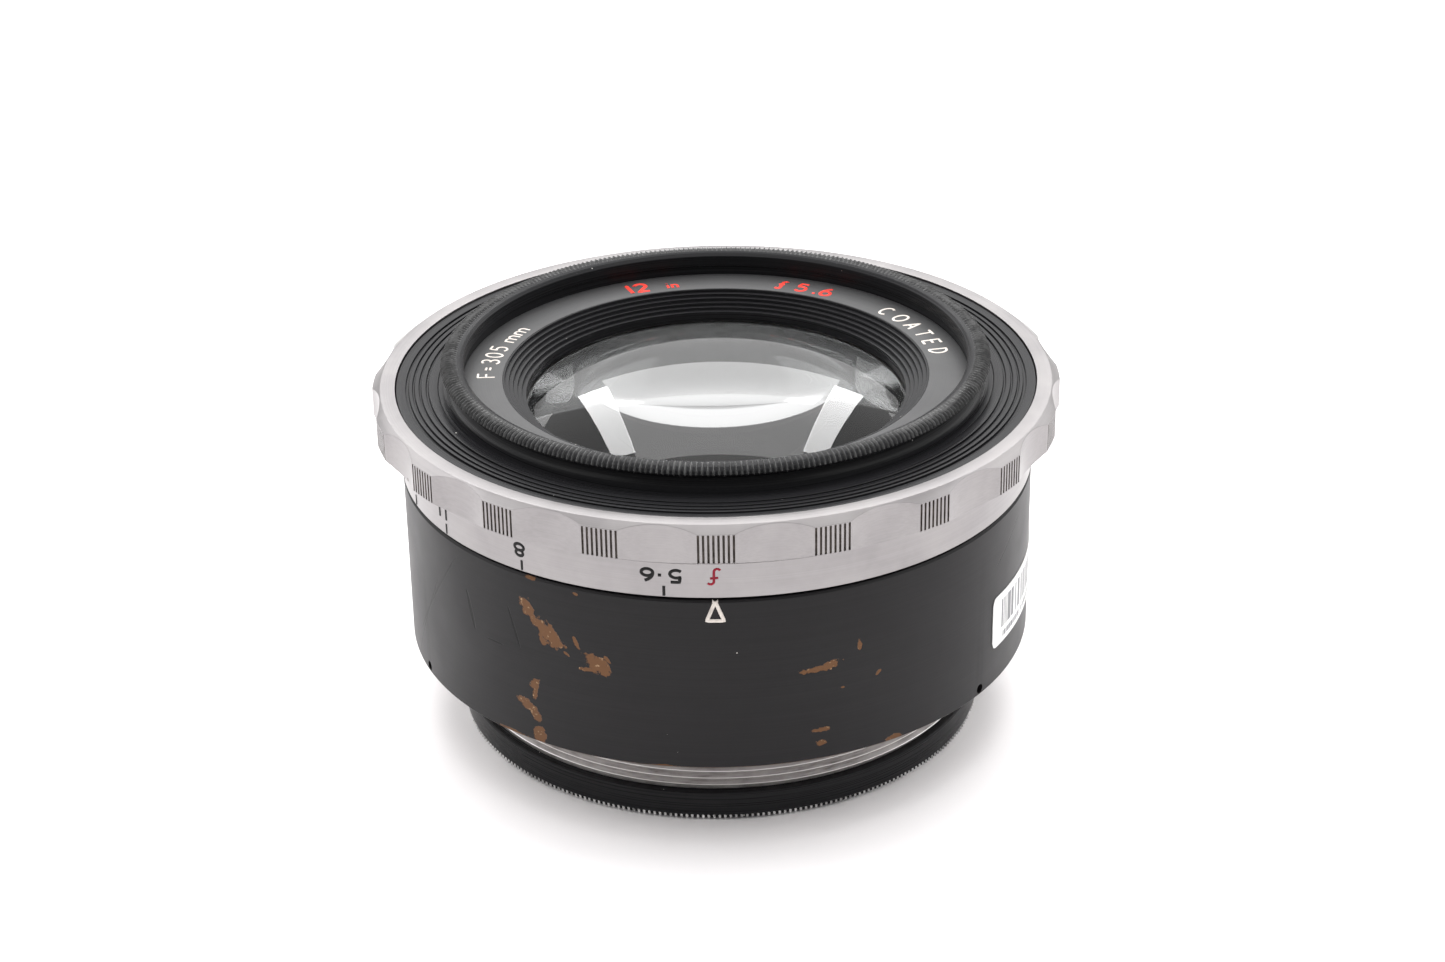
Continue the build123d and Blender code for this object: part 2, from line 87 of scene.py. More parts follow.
LAND_RADIUS, RING_BORE, RING_FOOT, RING_TOP = turned_size("aperture_ring")
BARREL_RADIUS, LEDGE_BORE, BARREL_BOTTOM, TUBE_TOP = turned_size("main_barrel")
FLANGE_RADIUS, FLANGE_BORE, FLANGE_FOOT, FLANGE_TOP = turned_size("front_flange")
RIM_RADIUS, RIM_BORE, RIM_FOOT, RIM_TOP = turned_size("front_rim")
CELL_RADIUS, CELL_LIP, CELL_BOTTOM, NECK_TOP = turned_size("front_cell")
NAME_RADIUS, NAME_BORE, NAME_FOOT, NAME_TOP = turned_size("name_ring")
STEP_RADIUS, GLASS_CLEAR, STEP_FOOT, STEP_TOP = turned_size("front_retaining_ring")
SLEEVE_RADIUS, SLEEVE_BORE, SLEEVE_FOOT, SLEEVE_TOP = turned_size("mount_sleeve")
REAR_RADIUS, REAR_LIP, REAR_BOTTOM, REAR_TOP = turned_size("rear_cell")
LABEL_FOOT, LABEL_TOP = turned_size("paper_label")[2:]
SHELL_TOP = RING_FOOT - 0.15
SHELL_BORE = 50.5
NECK_RADIUS = 43.9
SCALE_RADIUS = 53.6
SCALE_BOTTOM = 46.35
SCALE_TOP = 52.3
THREAD_RADIUS = 44.45
RING_TRAVEL = 79.0
RIDGE_SHARE = 0.6  # How much of its pitch a knurl ridge takes


# ---- Properties --------------------------------------------------------------------------------
def count(name, description, value):
    return bpy.props.IntProperty(name=name, description=description, default=value, min=3)


def length(name, description, value):
    return bpy.props.FloatProperty(
        name=name, description=description, default=value, unit="LENGTH", precision=5
    )


def angle(name, description, value):
    return bpy.props.FloatProperty(
        name=name, description=description, default=radians(value), subtype="ANGLE"
    )


def colour(name, description, value):
    return bpy.props.FloatVectorProperty(
        name=name, description=description, subtype="COLOR", size=3, min=0, max=1, default=value
    )


class LensSizes(bpy.types.PropertyGroup):
    """Sizes of the lens's fine shapes."""

    segments: count("Turned segments", "Sides of each turned piece", 256)
    land_count: count("Finger lands", "Lands around the aperture ring", 20)
    land_grooves: count("Grooves", "Grooves cut in each finger land", 8)
    groove_depth: length("Groove depth", "Depth of the land grooves", 0.28 * MM)
    scallop_depth: length("Scallop depth", "Depth of the scallops between the lands", 1.25 * MM)
    scallop_radius: length("Scallop radius", "Radius of the scallops' cutter", 21.1 * MM)
    front_teeth: count("Front knurl", "Ridges around the front rim", 324)
    rear_teeth: count("Rear knurl", "Ridges around the rear rim", 312)
    tooth_height: length("Knurl height", "Height of the front rim's ridges", 0.34 * MM)
    thread_pitch: length("Thread pitch", "Pitch of the mounting thread", 25.4 * MM / 20)
    thread_depth: length("Thread depth", "Depth of the mounting thread", 0.6 * MM)


class LensColours(bpy.types.PropertyGroup):
    """Colours of the lens's finishes."""

    lacquer: colour("Lacquer", "Black lacquer on the barrel", (0.0085, 0.0078, 0.0086))
    brass: colour("Brass", "Bare brass under the lacquer", (0.24, 0.12, 0.06))
    aluminium: colour("Aluminium", "Turned aluminium of the ring", (0.262, 0.25, 0.252))
    anodised: colour("Anodised", "Black anodised cells and rims", (0.011, 0.011, 0.012))
    name_grey: colour("Name ring", "Dark grey of the name ring", (0.046, 0.046, 0.047))
    cream: colour("Cream", "Cream paint of the index and lettering", (0.78, 0.72, 0.66))
    red: colour("Red", "Red paint on the name ring", (0.82, 0.05, 0.035))
    dark_red: colour("Dark red", "Red paint of the ring's mark", (0.3, 0.012, 0.03))
    ink: colour("Ink", "Black paint in the engraved scale", (0.008, 0.008, 0.008))
    paper: colour("Paper", "Paper of the stock label", (0.86, 0.86, 0.85))


class StageSettings(bpy.types.PropertyGroup):
    """Where the camera stands and how the studio is lit."""

    distance: length("Distance", "From the aperture ring's centre to the camera", 0.5071)
    elevation: angle("Elevation", "Height angle of the camera", 24.38)
    azimuth: angle("Azimuth", "Turn of the camera about the lens, away from the index", 0.77)
    pan: angle("Pan", "Turn of the camera to its right", 0.093)
    tilt: angle("Tilt", "Turn of the camera upwards", -2.105)
    roll: angle("Roll", "Turn of the camera about its view", -0.958)
    focal_length: bpy.props.FloatProperty(
        name="Focal length", description="Focal length on a 36 mm wide sensor", default=74.69
    )
    key_power: bpy.props.FloatProperty(
        name="Power", description="Power that each light has a share of", default=8.0, unit="POWER"
    )


# ---- Mesh helpers ------------------------------------------------------------------------------
def on_circle(radius, azimuth, height):
    return Vector((radius * cos(radians(azimuth)), radius * sin(radians(azimuth)), height))


def soften(outline, radius):
    """Rounds each corner of a closed outline by an arc of CORNER_STEPS sides."""
    softened = []
    for i, corner in enumerate(outline):
        here = Vector(corner)
        before = Vector(outline[i - 1]) - here
        after = Vector(outline[(i + 1) % len(outline)]) - here
        reach = min(radius, 0.35 * before.length, 0.35 * after.length)
        start = here + before.normalized() * reach
        end = here + after.normalized() * reach
        for step in range(CORNER_STEPS + 1):
            t = step / CORNER_STEPS
            point = start * (1 - t) ** 2 + here * 2 * t * (1 - t) + end * t**2
            softened.append((point.x, point.y))
    return softened


def finish_mesh(name, vertices, faces, materials=(None,), slots=None):
    """A smooth object at the origin, with outward faces and sharp creases marked.

    Unless materials are given, it has one empty slot.
    """
    mesh = bpy.data.meshes.new(name)
    mesh.from_pydata([point * MM for point in vertices], [], faces)
    for material in materials:
        mesh.materials.append(material)
    if slots is not None:
        mesh.polygons.foreach_set("material_index", slots)
    work = bmesh.new()
    work.from_mesh(mesh)
    bmesh.ops.remove_doubles(work, verts=work.verts, dist=0.0005 * MM)
    bmesh.ops.recalc_face_normals(work, faces=work.faces)
    work.to_mesh(mesh)
    work.free()
    crease(mesh)
    return linked(bpy.data.objects.new(name, mesh))


def linked(thing):
    bpy.context.scene.collection.objects.link(thing)
    return thing


def crease(mesh):
    mesh.polygons.foreach_set("use_smooth", [True] * len(mesh.polygons))
    mesh.set_sharp_from_angle(angle=SHARP_ANGLE)


def ring_of_columns(name, columns, materials, slot_of=None):
    """Joins closed outlines, one for each azimuth, into a closed ring."""
    height = len(columns[0][1])
    vertices = [on_circle(r, azimuth, z) for azimuth, outline in columns for r, z in outline]
    faces = []
    slots = []
    for i in range(len(columns)):
        j = (i + 1) % len(columns)
        for k in range(height):
            m = (k + 1) % height
            faces.append((i * height + k, j * height + k, j * height + m, i * height + m))
            slots.append(slot_of(i, k) if slot_of else 0)
    return finish_mesh(name, vertices, faces, materials, slots)


def turn(name, outline, material, softening=0.08):
    """Turns a closed outline about the lens axis."""
    rounded = soften(outline, softening)
    segments = bpy.context.scene.lens_sizes.segments
    columns = [(360 * i / segments, rounded) for i in range(segments)]
    return ring_of_columns(name, columns, [material])


def turn_disc(name, profile, material):
    """Turns an open profile, which starts and ends on the lens axis, into a solid disc."""
    segments = bpy.context.scene.lens_sizes.segments
    inner = profile[1:-1]
    height = len(inner)
    vertices = [Vector((0, 0, profile[0][1])), Vector((0, 0, profile[-1][1]))]
    faces = []
    for i in range(segments):
        vertices += [on_circle(r, 360 * i / segments, z) for r, z in inner]
        here = 2 + i * height
        there = 2 + (i + 1) % segments * height
        faces += [(0, here, there), (1, there + height - 1, here + height - 1)]
        for k in range(height - 1):
            faces.append((here + k, here + k + 1, there + k + 1, there + k))
    return finish_mesh(name, vertices, faces, [material])


def tube(name, rings):
    """Joins closed rings of points, one after the other, and closes both ends."""
    sides = len(rings[0])
    vertices = [point for ring in rings for point in ring]
    faces = [tuple(range(sides)), tuple(range(len(vertices) - sides, len(vertices)))]
    for here in range(0, len(vertices) - sides, sides):
        for k in range(sides):
            m = (k + 1) % sides
            faces.append((here + k, here + m, here + sides + m, here + sides + k))
    return finish_mesh(name, vertices, faces)


def sector_cutter(outline, start, sweep, steps=48):
    """A cutter that sweeps a closed outline through part of a turn."""
    azimuths = [start + sweep * i / steps for i in range(steps + 1)]
    return tube("sector_cutter", [[on_circle(r, a, z) for r, z in outline] for a in azimuths])


def peg_cutter(inner, outer, azimuth, height, radius, sides=32):
    """A round cutter that lies along a radius of the lens."""
    axis = on_circle(1, azimuth, 0)
    across = Vector((-axis.y, axis.x, 0))
    up = Vector((0, 0, 1))
    turns = [2 * pi * i / sides for i in range(sides)]
    spokes = [(across * cos(turn) + up * sin(turn)) * radius for turn in turns]
    ends = [[axis * reach + up * height + spoke for spoke in spokes] for reach in (inner, outer)]
    return tube("peg_cutter", ends)


def ridge_seed(name, path, half_width, height):
    """One knurl ridge that follows a path of (radius, height) places and dies out at its ends."""
    root_depth = 0.08
    crest_share = 0.14
    places = [Vector(place) for place in path]
    last = len(places) - 1
    rings = []
    for i, place in enumerate(places):
        along = (places[min(i + 1, last)] - places[max(i - 1, 0)]).normalized()
        out = Vector((along.y, -along.x))
        base = place - out * root_depth
        crest = place + out * (height if 0 < i < last else 0.0)
        corners = ((base, -1), (base, 1), (crest, crest_share), (crest, -crest_share))
        rings.append([Vector((spot.x, half_width * side, spot.y)) for spot, side in corners])
    return tube(name, rings)


def cut(piece, cutters):
    """Cuts each cutter out of the piece and removes the cutters."""
    for cutter in cutters:
        modifier = piece.modifiers.new("cut", "BOOLEAN")
        modifier.operation = "DIFFERENCE"
        modifier.solver = "EXACT"
        modifier.object = cutter
    bake_modifiers(piece)
    for cutter in cutters:
        bpy.data.objects.remove(cutter)


def bake_modifiers(piece):
    """Turns the evaluated shape into a plain mesh and removes the modifiers."""
    depsgraph = bpy.context.evaluated_depsgraph_get()
    mesh = bpy.data.meshes.new_from_object(piece.evaluated_get(depsgraph))
    piece.modifiers.clear()
    piece.data = mesh
    piece.data.name = piece.name
    crease(mesh)


def fit(piece, body, *nodes):
    """Rides a finished piece on a body, in place of the nodes it stands for."""
    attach(piece, body)
    if nodes:
        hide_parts(*nodes)


def made_once(store, name=None):
    """Lets a function make its data-block once, and finds it in bpy.data's `store` afterwards.

    Where no name is given here, it is the function's first argument.
    """

    def wrap(make):
        def find(*details):
            label, rest = (name, details) if name else (details[0], details[1:])
            blocks = getattr(bpy.data, store)
            if label not in blocks:
                make(label, *rest)
            return blocks[label]
        return find
    return wrap


# ---- Geometry node trees -----------------------------------------------------------------------
def start_tree(name, inputs):
    """A geometry tree with named inputs, and its input node."""
    tree = bpy.data.node_groups.new(name, "GeometryNodeTree")
    sockets = (("Geometry", "Geometry", None), *inputs, ("Finish", "Material", None))
    for label, kind, default in sockets:
        socket = tree.interface.new_socket(label, in_out="INPUT", socket_type=f"NodeSocket{kind}")
        if default is not None:
            socket.default_value = default
    tree.interface.new_socket("Geometry", in_out="OUTPUT", socket_type="NodeSocketGeometry")
    return tree, tree.nodes.new("NodeGroupInput")


def connect(tree, *links):
    for source, output, target, entry in links:
        tree.links.new(source.outputs[output], target.inputs[entry])


def end_tree(tree, entry, last):
    """Ends a tree in Realize Instances and Set Material."""
    realize = tree.nodes.new("GeometryNodeRealizeInstances")
    finish = tree.nodes.new("GeometryNodeSetMaterial")
    leave = tree.nodes.new("NodeGroupOutput")
    connect(tree, (last, 0, realize, 0), (realize, 0, finish, 0),
            (entry, "Finish", finish, "Material"), (finish, 0, leave, 0))


@made_once("node_groups", "repeat about axis")
def repeat_about_axis(name):
    """A tree that repeats its input evenly about the lens axis."""
    tree, entry = start_tree(name, [("Count", "Int", 12)])
    line = tree.nodes.new("GeometryNodeMeshLine")
    line.inputs["Offset"].default_value = (0, 0, 0)
    index = tree.nodes.new("GeometryNodeInputIndex")
    step = tree.nodes.new("ShaderNodeMath")
    step.operation = "DIVIDE"
    step.inputs[0].default_value = 2 * pi
    azimuth = tree.nodes.new("ShaderNodeMath")
    azimuth.operation = "MULTIPLY"
    turned = tree.nodes.new("ShaderNodeCombineXYZ")
    rotation = tree.nodes.new("FunctionNodeEulerToRotation")
    place = tree.nodes.new("GeometryNodeInstanceOnPoints")
    connect(
        tree, (entry, "Count", line, "Count"), (entry, "Count", step, 1), (step, 0, azimuth, 0),
        (index, 0, azimuth, 1), (azimuth, 0, turned, "Z"), (turned, 0, rotation, 0),
        (line, 0, place, "Points"), (entry, "Geometry", place, "Instance"),
        (rotation, 0, place, "Rotation"),
    )
    end_tree(tree, entry, place)


@made_once("node_groups", "wound thread")
def thread_tree(name):
    """A tree that winds a V ridge along a helix."""
    tree, entry = start_tree(name, [
        ("Turns", "Float", 7.0), ("Root radius", "Float", 0.044), ("Length", "Float", 0.009),
        ("Ridge radius", "Float", 0.0005),
    ])
    helix = tree.nodes.new("GeometryNodeCurveSpiral")
    helix.inputs["Resolution"].default_value = 192
    normal = tree.nodes.new("GeometryNodeSetCurveNormal")
    normal.mode = "Z_UP"
    ridge = tree.nodes.new("GeometryNodeCurvePrimitiveCircle")
    ridge.inputs["Resolution"].default_value = 4
    sweep = tree.nodes.new("GeometryNodeCurveToMesh")
    sweep.inputs["Fill Caps"].default_value = True
    connect(
        tree, (entry, "Turns", helix, "Rotations"), (entry, "Root radius", helix, "Start Radius"),
        (entry, "Root radius", helix, "End Radius"), (entry, "Length", helix, "Height"),
        (entry, "Ridge radius", ridge, "Radius"), (helix, 0, normal, 0),
        (normal, 0, sweep, "Curve"), (ridge, 0, sweep, "Profile Curve"),
    )
    end_tree(tree, entry, sweep)


def run_tree(piece, tree, **values):
    """Runs a geometry tree on a piece and keeps the result as a plain mesh."""
    modifier = piece.modifiers.new(tree.name, "NODES")
    modifier.node_group = tree
    for item in tree.interface.items_tree:
        key = item.name.replace(" ", "_").lower()
        if item.in_out == "INPUT" and key in values:
            modifier[item.identifier] = values[key]
    bake_modifiers(piece)


# ---- Engraving: single-stroke letters ----------------------------------------------------------
def bow(x, y, rx, ry, start, end, steps=18):
    """Points of an elliptical arc, with angles in degrees."""
    angles = [radians(start + (end - start) * i / steps) for i in range(steps + 1)]
    return [(x + rx * cos(a), y + ry * sin(a)) for a in angles]


STROKES = {
    "0": [bow(0.3, 0.5, 0.28, 0.5, 0, 360, 32)],
    "1": [[(0.3, 0), (0.3, 1)]],
    "2": [bow(0.3, 0.71, 0.28, 0.29, 165, -35) + [(0.02, 0), (0.6, 0)]],
    "3": [bow(0.28, 0.75, 0.25, 0.25, 150, -90) + bow(0.28, 0.26, 0.3, 0.26, 90, -150)],
    "5": [[(0.54, 1), (0.12, 1), (0.08, 0.57)] + bow(0.27, 0.32, 0.3, 0.32, 125, -140)],
    "6": [bow(0.66, 0.28, 0.64, 0.75, 112, 178, 10) + bow(0.3, 0.29, 0.28, 0.29, 180, 540, 30)],
    "8": [bow(0.3, 0.76, 0.22, 0.24, -90, 270, 28), bow(0.3, 0.27, 0.28, 0.27, 90, 450, 30)],
    ".": [[(0.03, 0.04), (0.19, 0.04)]],
    "-": [[(0.03, 0.46), (0.19, 0.46)]],
    "f": [bow(0.46, 0.8, 0.13, 0.2, 35, 170, 8) + bow(0.2, 0.2, 0.13, 0.2, -10, -150, 8),
          [(0.16, 0.58), (0.48, 0.62)]],
    "i": [[(0.1, 0), (0.1, 0.55)], [(0.1, 0.8), (0.1, 0.84)]],
    "m": [[(0, 0), (0, 0.6)], bow(0.23, 0.37, 0.23, 0.23, 180, 0, 8) + [(0.46, 0)],
          bow(0.69, 0.37, 0.23, 0.23, 180, 0, 8) + [(0.92, 0)]],
    "n": [[(0, 0), (0, 0.6)], bow(0.2, 0.38, 0.2, 0.22, 180, 0, 8) + [(0.4, 0)]],
    "A": [[(0, 0), (0.3, 1), (0.6, 0)], [(0.11, 0.36), (0.49, 0.36)]],
    "C": [bow(0.34, 0.5, 0.32, 0.5, 48, 312, 20)],
    "D": [[(0, 0), (0, 1)] + bow(0.12, 0.5, 0.42, 0.5, 90, -90, 16) + [(0, 0)]],
    "E": [[(0.5, 1), (0, 1), (0, 0), (0.5, 0)], [(0, 0.52), (0.42, 0.52)]],
    "O": [bow(0.34, 0.5, 0.34, 0.5, 0, 360, 32)],
    "T": [[(0, 1), (0.6, 1)], [(0.3, 0), (0.3, 1)]],
    "F": [[(0.5, 1), (0, 1), (0, 0)], [(0, 0.52), (0.42, 0.52)]],
    "=": [[(0.02, 0.36), (0.4, 0.36)], [(0.02, 0.6), (0.4, 0.6)]],
}
ADVANCE = {"1": 0.62, ".": 0.42, "-": 0.42, "i": 0.42, "m": 1.2, "n": 0.72, " ": 0.45, "f": 0.8}
LETTER_ADVANCE = 0.66


def lettering(text, height, spacing=0.2, stretch=1.0):
    """Strokes of a line of text, centred on zero, with the baseline at zero."""
    strokes = []
    cursor = 0.0
    for letter in text:
        for stroke in STROKES.get(letter, []):
            strokes.append([((cursor + x) * height * stretch, y * height) for x, y in stroke])
        cursor += ADVANCE.get(letter, LETTER_ADVANCE + spacing)
    shift = (cursor - spacing) * height * stretch / 2
    return [[(x - shift, y) for x, y in stroke] for stroke in strokes]


def refine(stroke, spacing):
    """Adds points along a stroke, so that it can follow a curved surface."""
    fine = [stroke[0]]
    for (x0, y0), (x1, y1) in zip(stroke, stroke[1:]):
        pieces = max(1, round(hypot(x1 - x0, y1 - y0) / spacing))
        fine += [(x0 + (x1 - x0) * i / pieces, y0 + (y1 - y0) * i / pieces)
                 for i in range(1, pieces + 1)]
    return fine


def engrave(name, strokes, place, width, material):
    """Fills strokes with paint: beads laid along them, sunk until `width` of each shows.

    `place` takes (across, up, depth) in millimetres and gives a point in space.
    """
    sink = 0.75
    radius = width / 2 / sqrt(1 - sink**2)
    curve = bpy.data.curves.new(name, "CURVE")
    curve.dimensions = "3D"
    curve.bevel_depth = radius * MM
    curve.bevel_resolution = 2
    curve.use_fill_caps = True
    for stroke in strokes:
        fine = refine(stroke, 0.25)
        spline = curve.splines.new("POLY")
        spline.points.add(len(fine) - 1)
        for point, (across, up) in zip(spline.points, fine):
            point.co = (*(place(across, up, radius * sink) * MM), 1)
    bead = linked(bpy.data.objects.new(name, curve))
    depsgraph = bpy.context.evaluated_depsgraph_get()
    mesh = bpy.data.meshes.new_from_object(bead.evaluated_get(depsgraph))
    bpy.data.objects.remove(bead)
    mesh.materials.clear()
    mesh.materials.append(material)
    mesh.polygons.foreach_set("use_smooth", [True] * len(mesh.polygons))
    return linked(bpy.data.objects.new(name, mesh))


def on_scale(centre, baseline):
    """Places strokes on the scale band, upside down, as they are read from behind the lens."""
    def place(across, up, depth):
        azimuth = centre - degrees(across / SCALE_RADIUS)
        return on_circle(SCALE_RADIUS - depth, azimuth, baseline - up)
    return place


def on_barrel(centre, baseline):
    """Places strokes upright on the barrel's outside."""
    def place(across, up, depth):
        azimuth = centre + degrees(across / BARREL_RADIUS)
        return on_circle(BARREL_RADIUS - depth, azimuth, baseline + up)
    return place


def on_name_ring(centre, radius):
    """Places strokes on the name ring's flat face, with their tops outwards."""
    letter_middle = 1.5

    def place(across, up, depth):
        azimuth = centre - degrees(across / (radius + letter_middle))
        return on_circle(radius + up, azimuth, NAME_TOP - depth)
    return place


# ---- Shader helpers ----------------------------------------------------------------------------
class Value:
    """An output socket in a shader tree. Numbers take part in formulas."""

    def __init__(self, tree, socket):
        self.tree = tree
        self.socket = socket

    def math(self, operation, other=None, clamp=False):
        node = self.tree.nodes.new("ShaderNodeMath")
        node.operation = operation
        node.use_clamp = clamp
        feed(self.tree, self, node.inputs[0])
        if other is not None:
            feed(self.tree, other, node.inputs[1])
        return Value(self.tree, node.outputs[0])

    def __add__(self, other):
        return self.math("ADD", other)

    def __sub__(self, other):
        return self.math("SUBTRACT", other)

    def __mul__(self, other):
        return self.math("MULTIPLY", other)

    def __truediv__(self, other):
        return self.math("DIVIDE", other)

    def ramp(self, low, high):
        """Maps low..high to 0..1, clamped."""
        node = self.tree.nodes.new("ShaderNodeMapRange")
        node.inputs["From Min"].default_value = low
        node.inputs["From Max"].default_value = high
        feed(self.tree, self, node.inputs["Value"])
        return Value(self.tree, node.outputs["Result"])


def feed(tree, value, entry):
    """Links a Value to an input socket, or sets the socket to a number or colour."""
    if isinstance(value, Value):
        tree.links.new(value.socket, entry)
    elif isinstance(value, (int, float)):
        entry.default_value = value
    else:
        entry.default_value = (*value[:3], 1)


def mix(factor, first, second):
    """Mixes two colours by a factor."""
    node = factor.tree.nodes.new("ShaderNodeMix")
    node.data_type = "RGBA"
    for slot, value in ((0, factor), (6, first), (7, second)):
        feed(factor.tree, value, node.inputs[slot])
    return Value(factor.tree, node.outputs[2])


def noise(tree, scale, detail=3.0, roughness=0.55, point=None):
    node = tree.nodes.new("ShaderNodeTexNoise")
    feed(tree, point or object_point(tree), node.inputs["Vector"])
    for entry, value in (("Scale", scale), ("Detail", detail), ("Roughness", roughness)):
        feed(tree, value, node.inputs[entry])
    return Value(tree, node.outputs["Fac"])


def object_point(tree):
    return Value(tree, tree.nodes.new("ShaderNodeTexCoord").outputs["Object"])


def parts_of(vector):
    """The three parts of a vector or colour."""
    split = vector.tree.nodes.new("ShaderNodeSeparateXYZ")
    feed(vector.tree, vector, split.inputs[0])
    return [Value(vector.tree, output) for output in split.outputs]


def axis_point(tree):
    """The point as (radius, azimuth, height), which suits marks left by a lathe."""
    x, y, z = parts_of(object_point(tree))
    return (x * x + y * y).math("SQRT"), y.math("ARCTAN2", x), z


def start_group(name, **inputs):
    """A new shader group with number inputs, which it gives as Values."""
    group = bpy.data.node_groups.new(name, "ShaderNodeTree")
    for key, default in inputs.items():
        socket = group.interface.new_socket(
            socket_name(key), in_out="INPUT", socket_type="NodeSocketFloat"
        )
        socket.default_value = default
    entry = group.nodes.new("NodeGroupInput")
    return group, [Value(group, entry.outputs[socket_name(key)]) for key in inputs]


def end_group(group, **results):
    """Gives a shader group its number outputs."""
    for key in results:
        group.interface.new_socket(
            socket_name(key), in_out="OUTPUT", socket_type="NodeSocketFloat"
        )
    leave = group.nodes.new("NodeGroupOutput")
    for key, value in results.items():
        feed(group, value, leave.inputs[socket_name(key)])


def socket_name(key):
    return key.replace("_", " ").capitalize()


@made_once("node_groups", "turning marks")
def turning_marks(name):
    """Fine rings left by the lathe: a height for bump and a shade for roughness."""
    group, (fineness, streak_length) = start_group(name, fineness=9000.0, streak_length=1.0)
    radius, azimuth, height = axis_point(group)
    place = group.nodes.new("ShaderNodeCombineXYZ")
    stretched = (radius * fineness, height * fineness, azimuth * streak_length)
    for entry, value in zip(place.inputs, stretched):
        feed(group, value, entry)
    fine = noise(group, 1.0, 2.0, point=Value(group, place.outputs[0]))
    end_group(group, height=fine, shade=fine.ramp(0.3, 0.7))


@made_once("node_groups", "dust specks")
def dust(name):
    """Sparse pale specks of dust and lint."""
    largest = 0.11
    group, (density, scale) = start_group(name, density=0.1, scale=420.0)
    cells = group.nodes.new("ShaderNodeTexVoronoi")
    feed(group, object_point(group), cells.inputs["Vector"])
    feed(group, scale, cells.inputs["Scale"])
    chance, size = parts_of(Value(group, cells.outputs["Color"]))[:2]
    speck = Value(group, cells.outputs["Distance"]).math("LESS_THAN", size * largest)
    end_group(group, mask=chance.math("LESS_THAN", density) * speck)


@made_once("node_groups", "handling blotches")
def smudge(name):
    """Broad soft blotches from handling and uneven wear."""
    group, (scale,) = start_group(name, scale=60.0)
    end_group(group, mask=noise(group, scale, 4.0, 0.6).ramp(0.35, 0.7))


@made_once("node_groups", "crest height")
def crest_height(name):
    """How far a point stands out from a root cylinder: 0 at its root, 1 at its crest."""
    group, (root, depth) = start_group(name, root=0.04, depth=0.0005)
    radius = axis_point(group)[0]
    end_group(group, mask=(radius - root).math("DIVIDE", depth, clamp=True))


@made_once("node_groups", "edge wear")
def edge_wear(name):
    """Broken wear along a turned edge at one height."""
    reach = 2.4
    group, (edge, width) = start_group(name, edge=0.0, width=0.0003)
    height = axis_point(group)[2]
    away = (height - edge).math("ABSOLUTE") / width
    end_group(group, mask=(noise(group, 260.0, 5.0, 0.7) * reach - away).ramp(0.2, 0.5))


@made_once("node_groups", "lacquer chip")
def chip(name):
    """One ragged patch where the lacquer is gone, around a centre on the surface."""
    swing = 2.6
    group, (centre, level, half_width, half_height, lean, raggedness) = start_group(
        name, azimuth=0.0, height=0.0, half_width=0.002, half_height=0.001, lean=0.0,
        raggedness=0.7,
    )
    radius, azimuth, height = axis_point(group)
    across = (azimuth - centre) * radius
    up = height - level
    cosine, sine = lean.math("COSINE"), lean.math("SINE")
    along = (across * cosine + up * sine) / half_width
    aside = (up * cosine - across * sine) / half_height
    reach = (along * along + aside * aside).math("SQRT")
    edge = reach + (noise(group, 900.0, 4.0, 0.65) - 0.5) * raggedness * swing
    end_group(group, mask=edge.ramp(1.0, 0.86))


class Finish:
    """A material with one Principled shader, and short ways to build its patterns."""

    def __init__(self, name, base, metallic, roughness, specular=0.5):
        self.material = bpy.data.materials.new(name)
        self.material.use_nodes = True
        self.tree = self.material.node_tree
        self.shader = self.tree.nodes["Principled BSDF"]
        self.feed("Base Color", base)
        self.feed("Metallic", metallic)
        self.feed("Roughness", roughness)
        self.feed("Specular IOR Level", specular)

    def feed(self, entry, value):
        feed(self.tree, value, self.shader.inputs[entry])

    def pattern(self, group, **values):
        """Adds a shader group and gives its outputs, or its only one."""
        node = self.tree.nodes.new("ShaderNodeGroup")
        node.node_tree = group
        for key, value in values.items():
            node.inputs[socket_name(key)].default_value = value
        outputs = [Value(self.tree, output) for output in node.outputs]
        return outputs if len(outputs) > 1 else outputs[0]

    def vary_roughness(self, mask, low, high):
        self.feed("Roughness", mask * (high - low) + low)

    def bump(self, height, distance, strength):
        node = self.tree.nodes.new("ShaderNodeBump")
        node.inputs["Distance"].default_value = distance
        node.inputs["Strength"].default_value = strength
        feed(self.tree, height, node.inputs["Height"])
        self.feed("Normal", Value(self.tree, node.outputs[0]))


# ---- Materials ---------------------------------------------------------------------------------
def colours():
    return bpy.context.scene.lens_colours


def shaded(base, share):
    return [part * share for part in base]


@made_once("materials", "turned aluminium")
def turned_aluminium(name):
    """Bright turned aluminium with fine lathe rings, soft blotches and a few marks."""
    base = colours().aluminium
    finish = Finish(name, base, 1.0, 0.34)
    height, shade = finish.pattern(turning_marks(), fineness=5200.0, streak_length=0.6)
    wear = finish.pattern(smudge(), scale=90.0)
    nicks = finish.pattern(dust(), density=0.03, scale=260.0)
    tone = mix(wear * 0.22, mix(shade, shaded(base, 0.9), base), (0.55, 0.53, 0.52))
    finish.feed("Base Color", mix(nicks, tone, (0.12, 0.1, 0.09)))
    finish.vary_roughness(wear, 0.3, 0.42)
    finish.bump(height, 0.00001, 0.35)


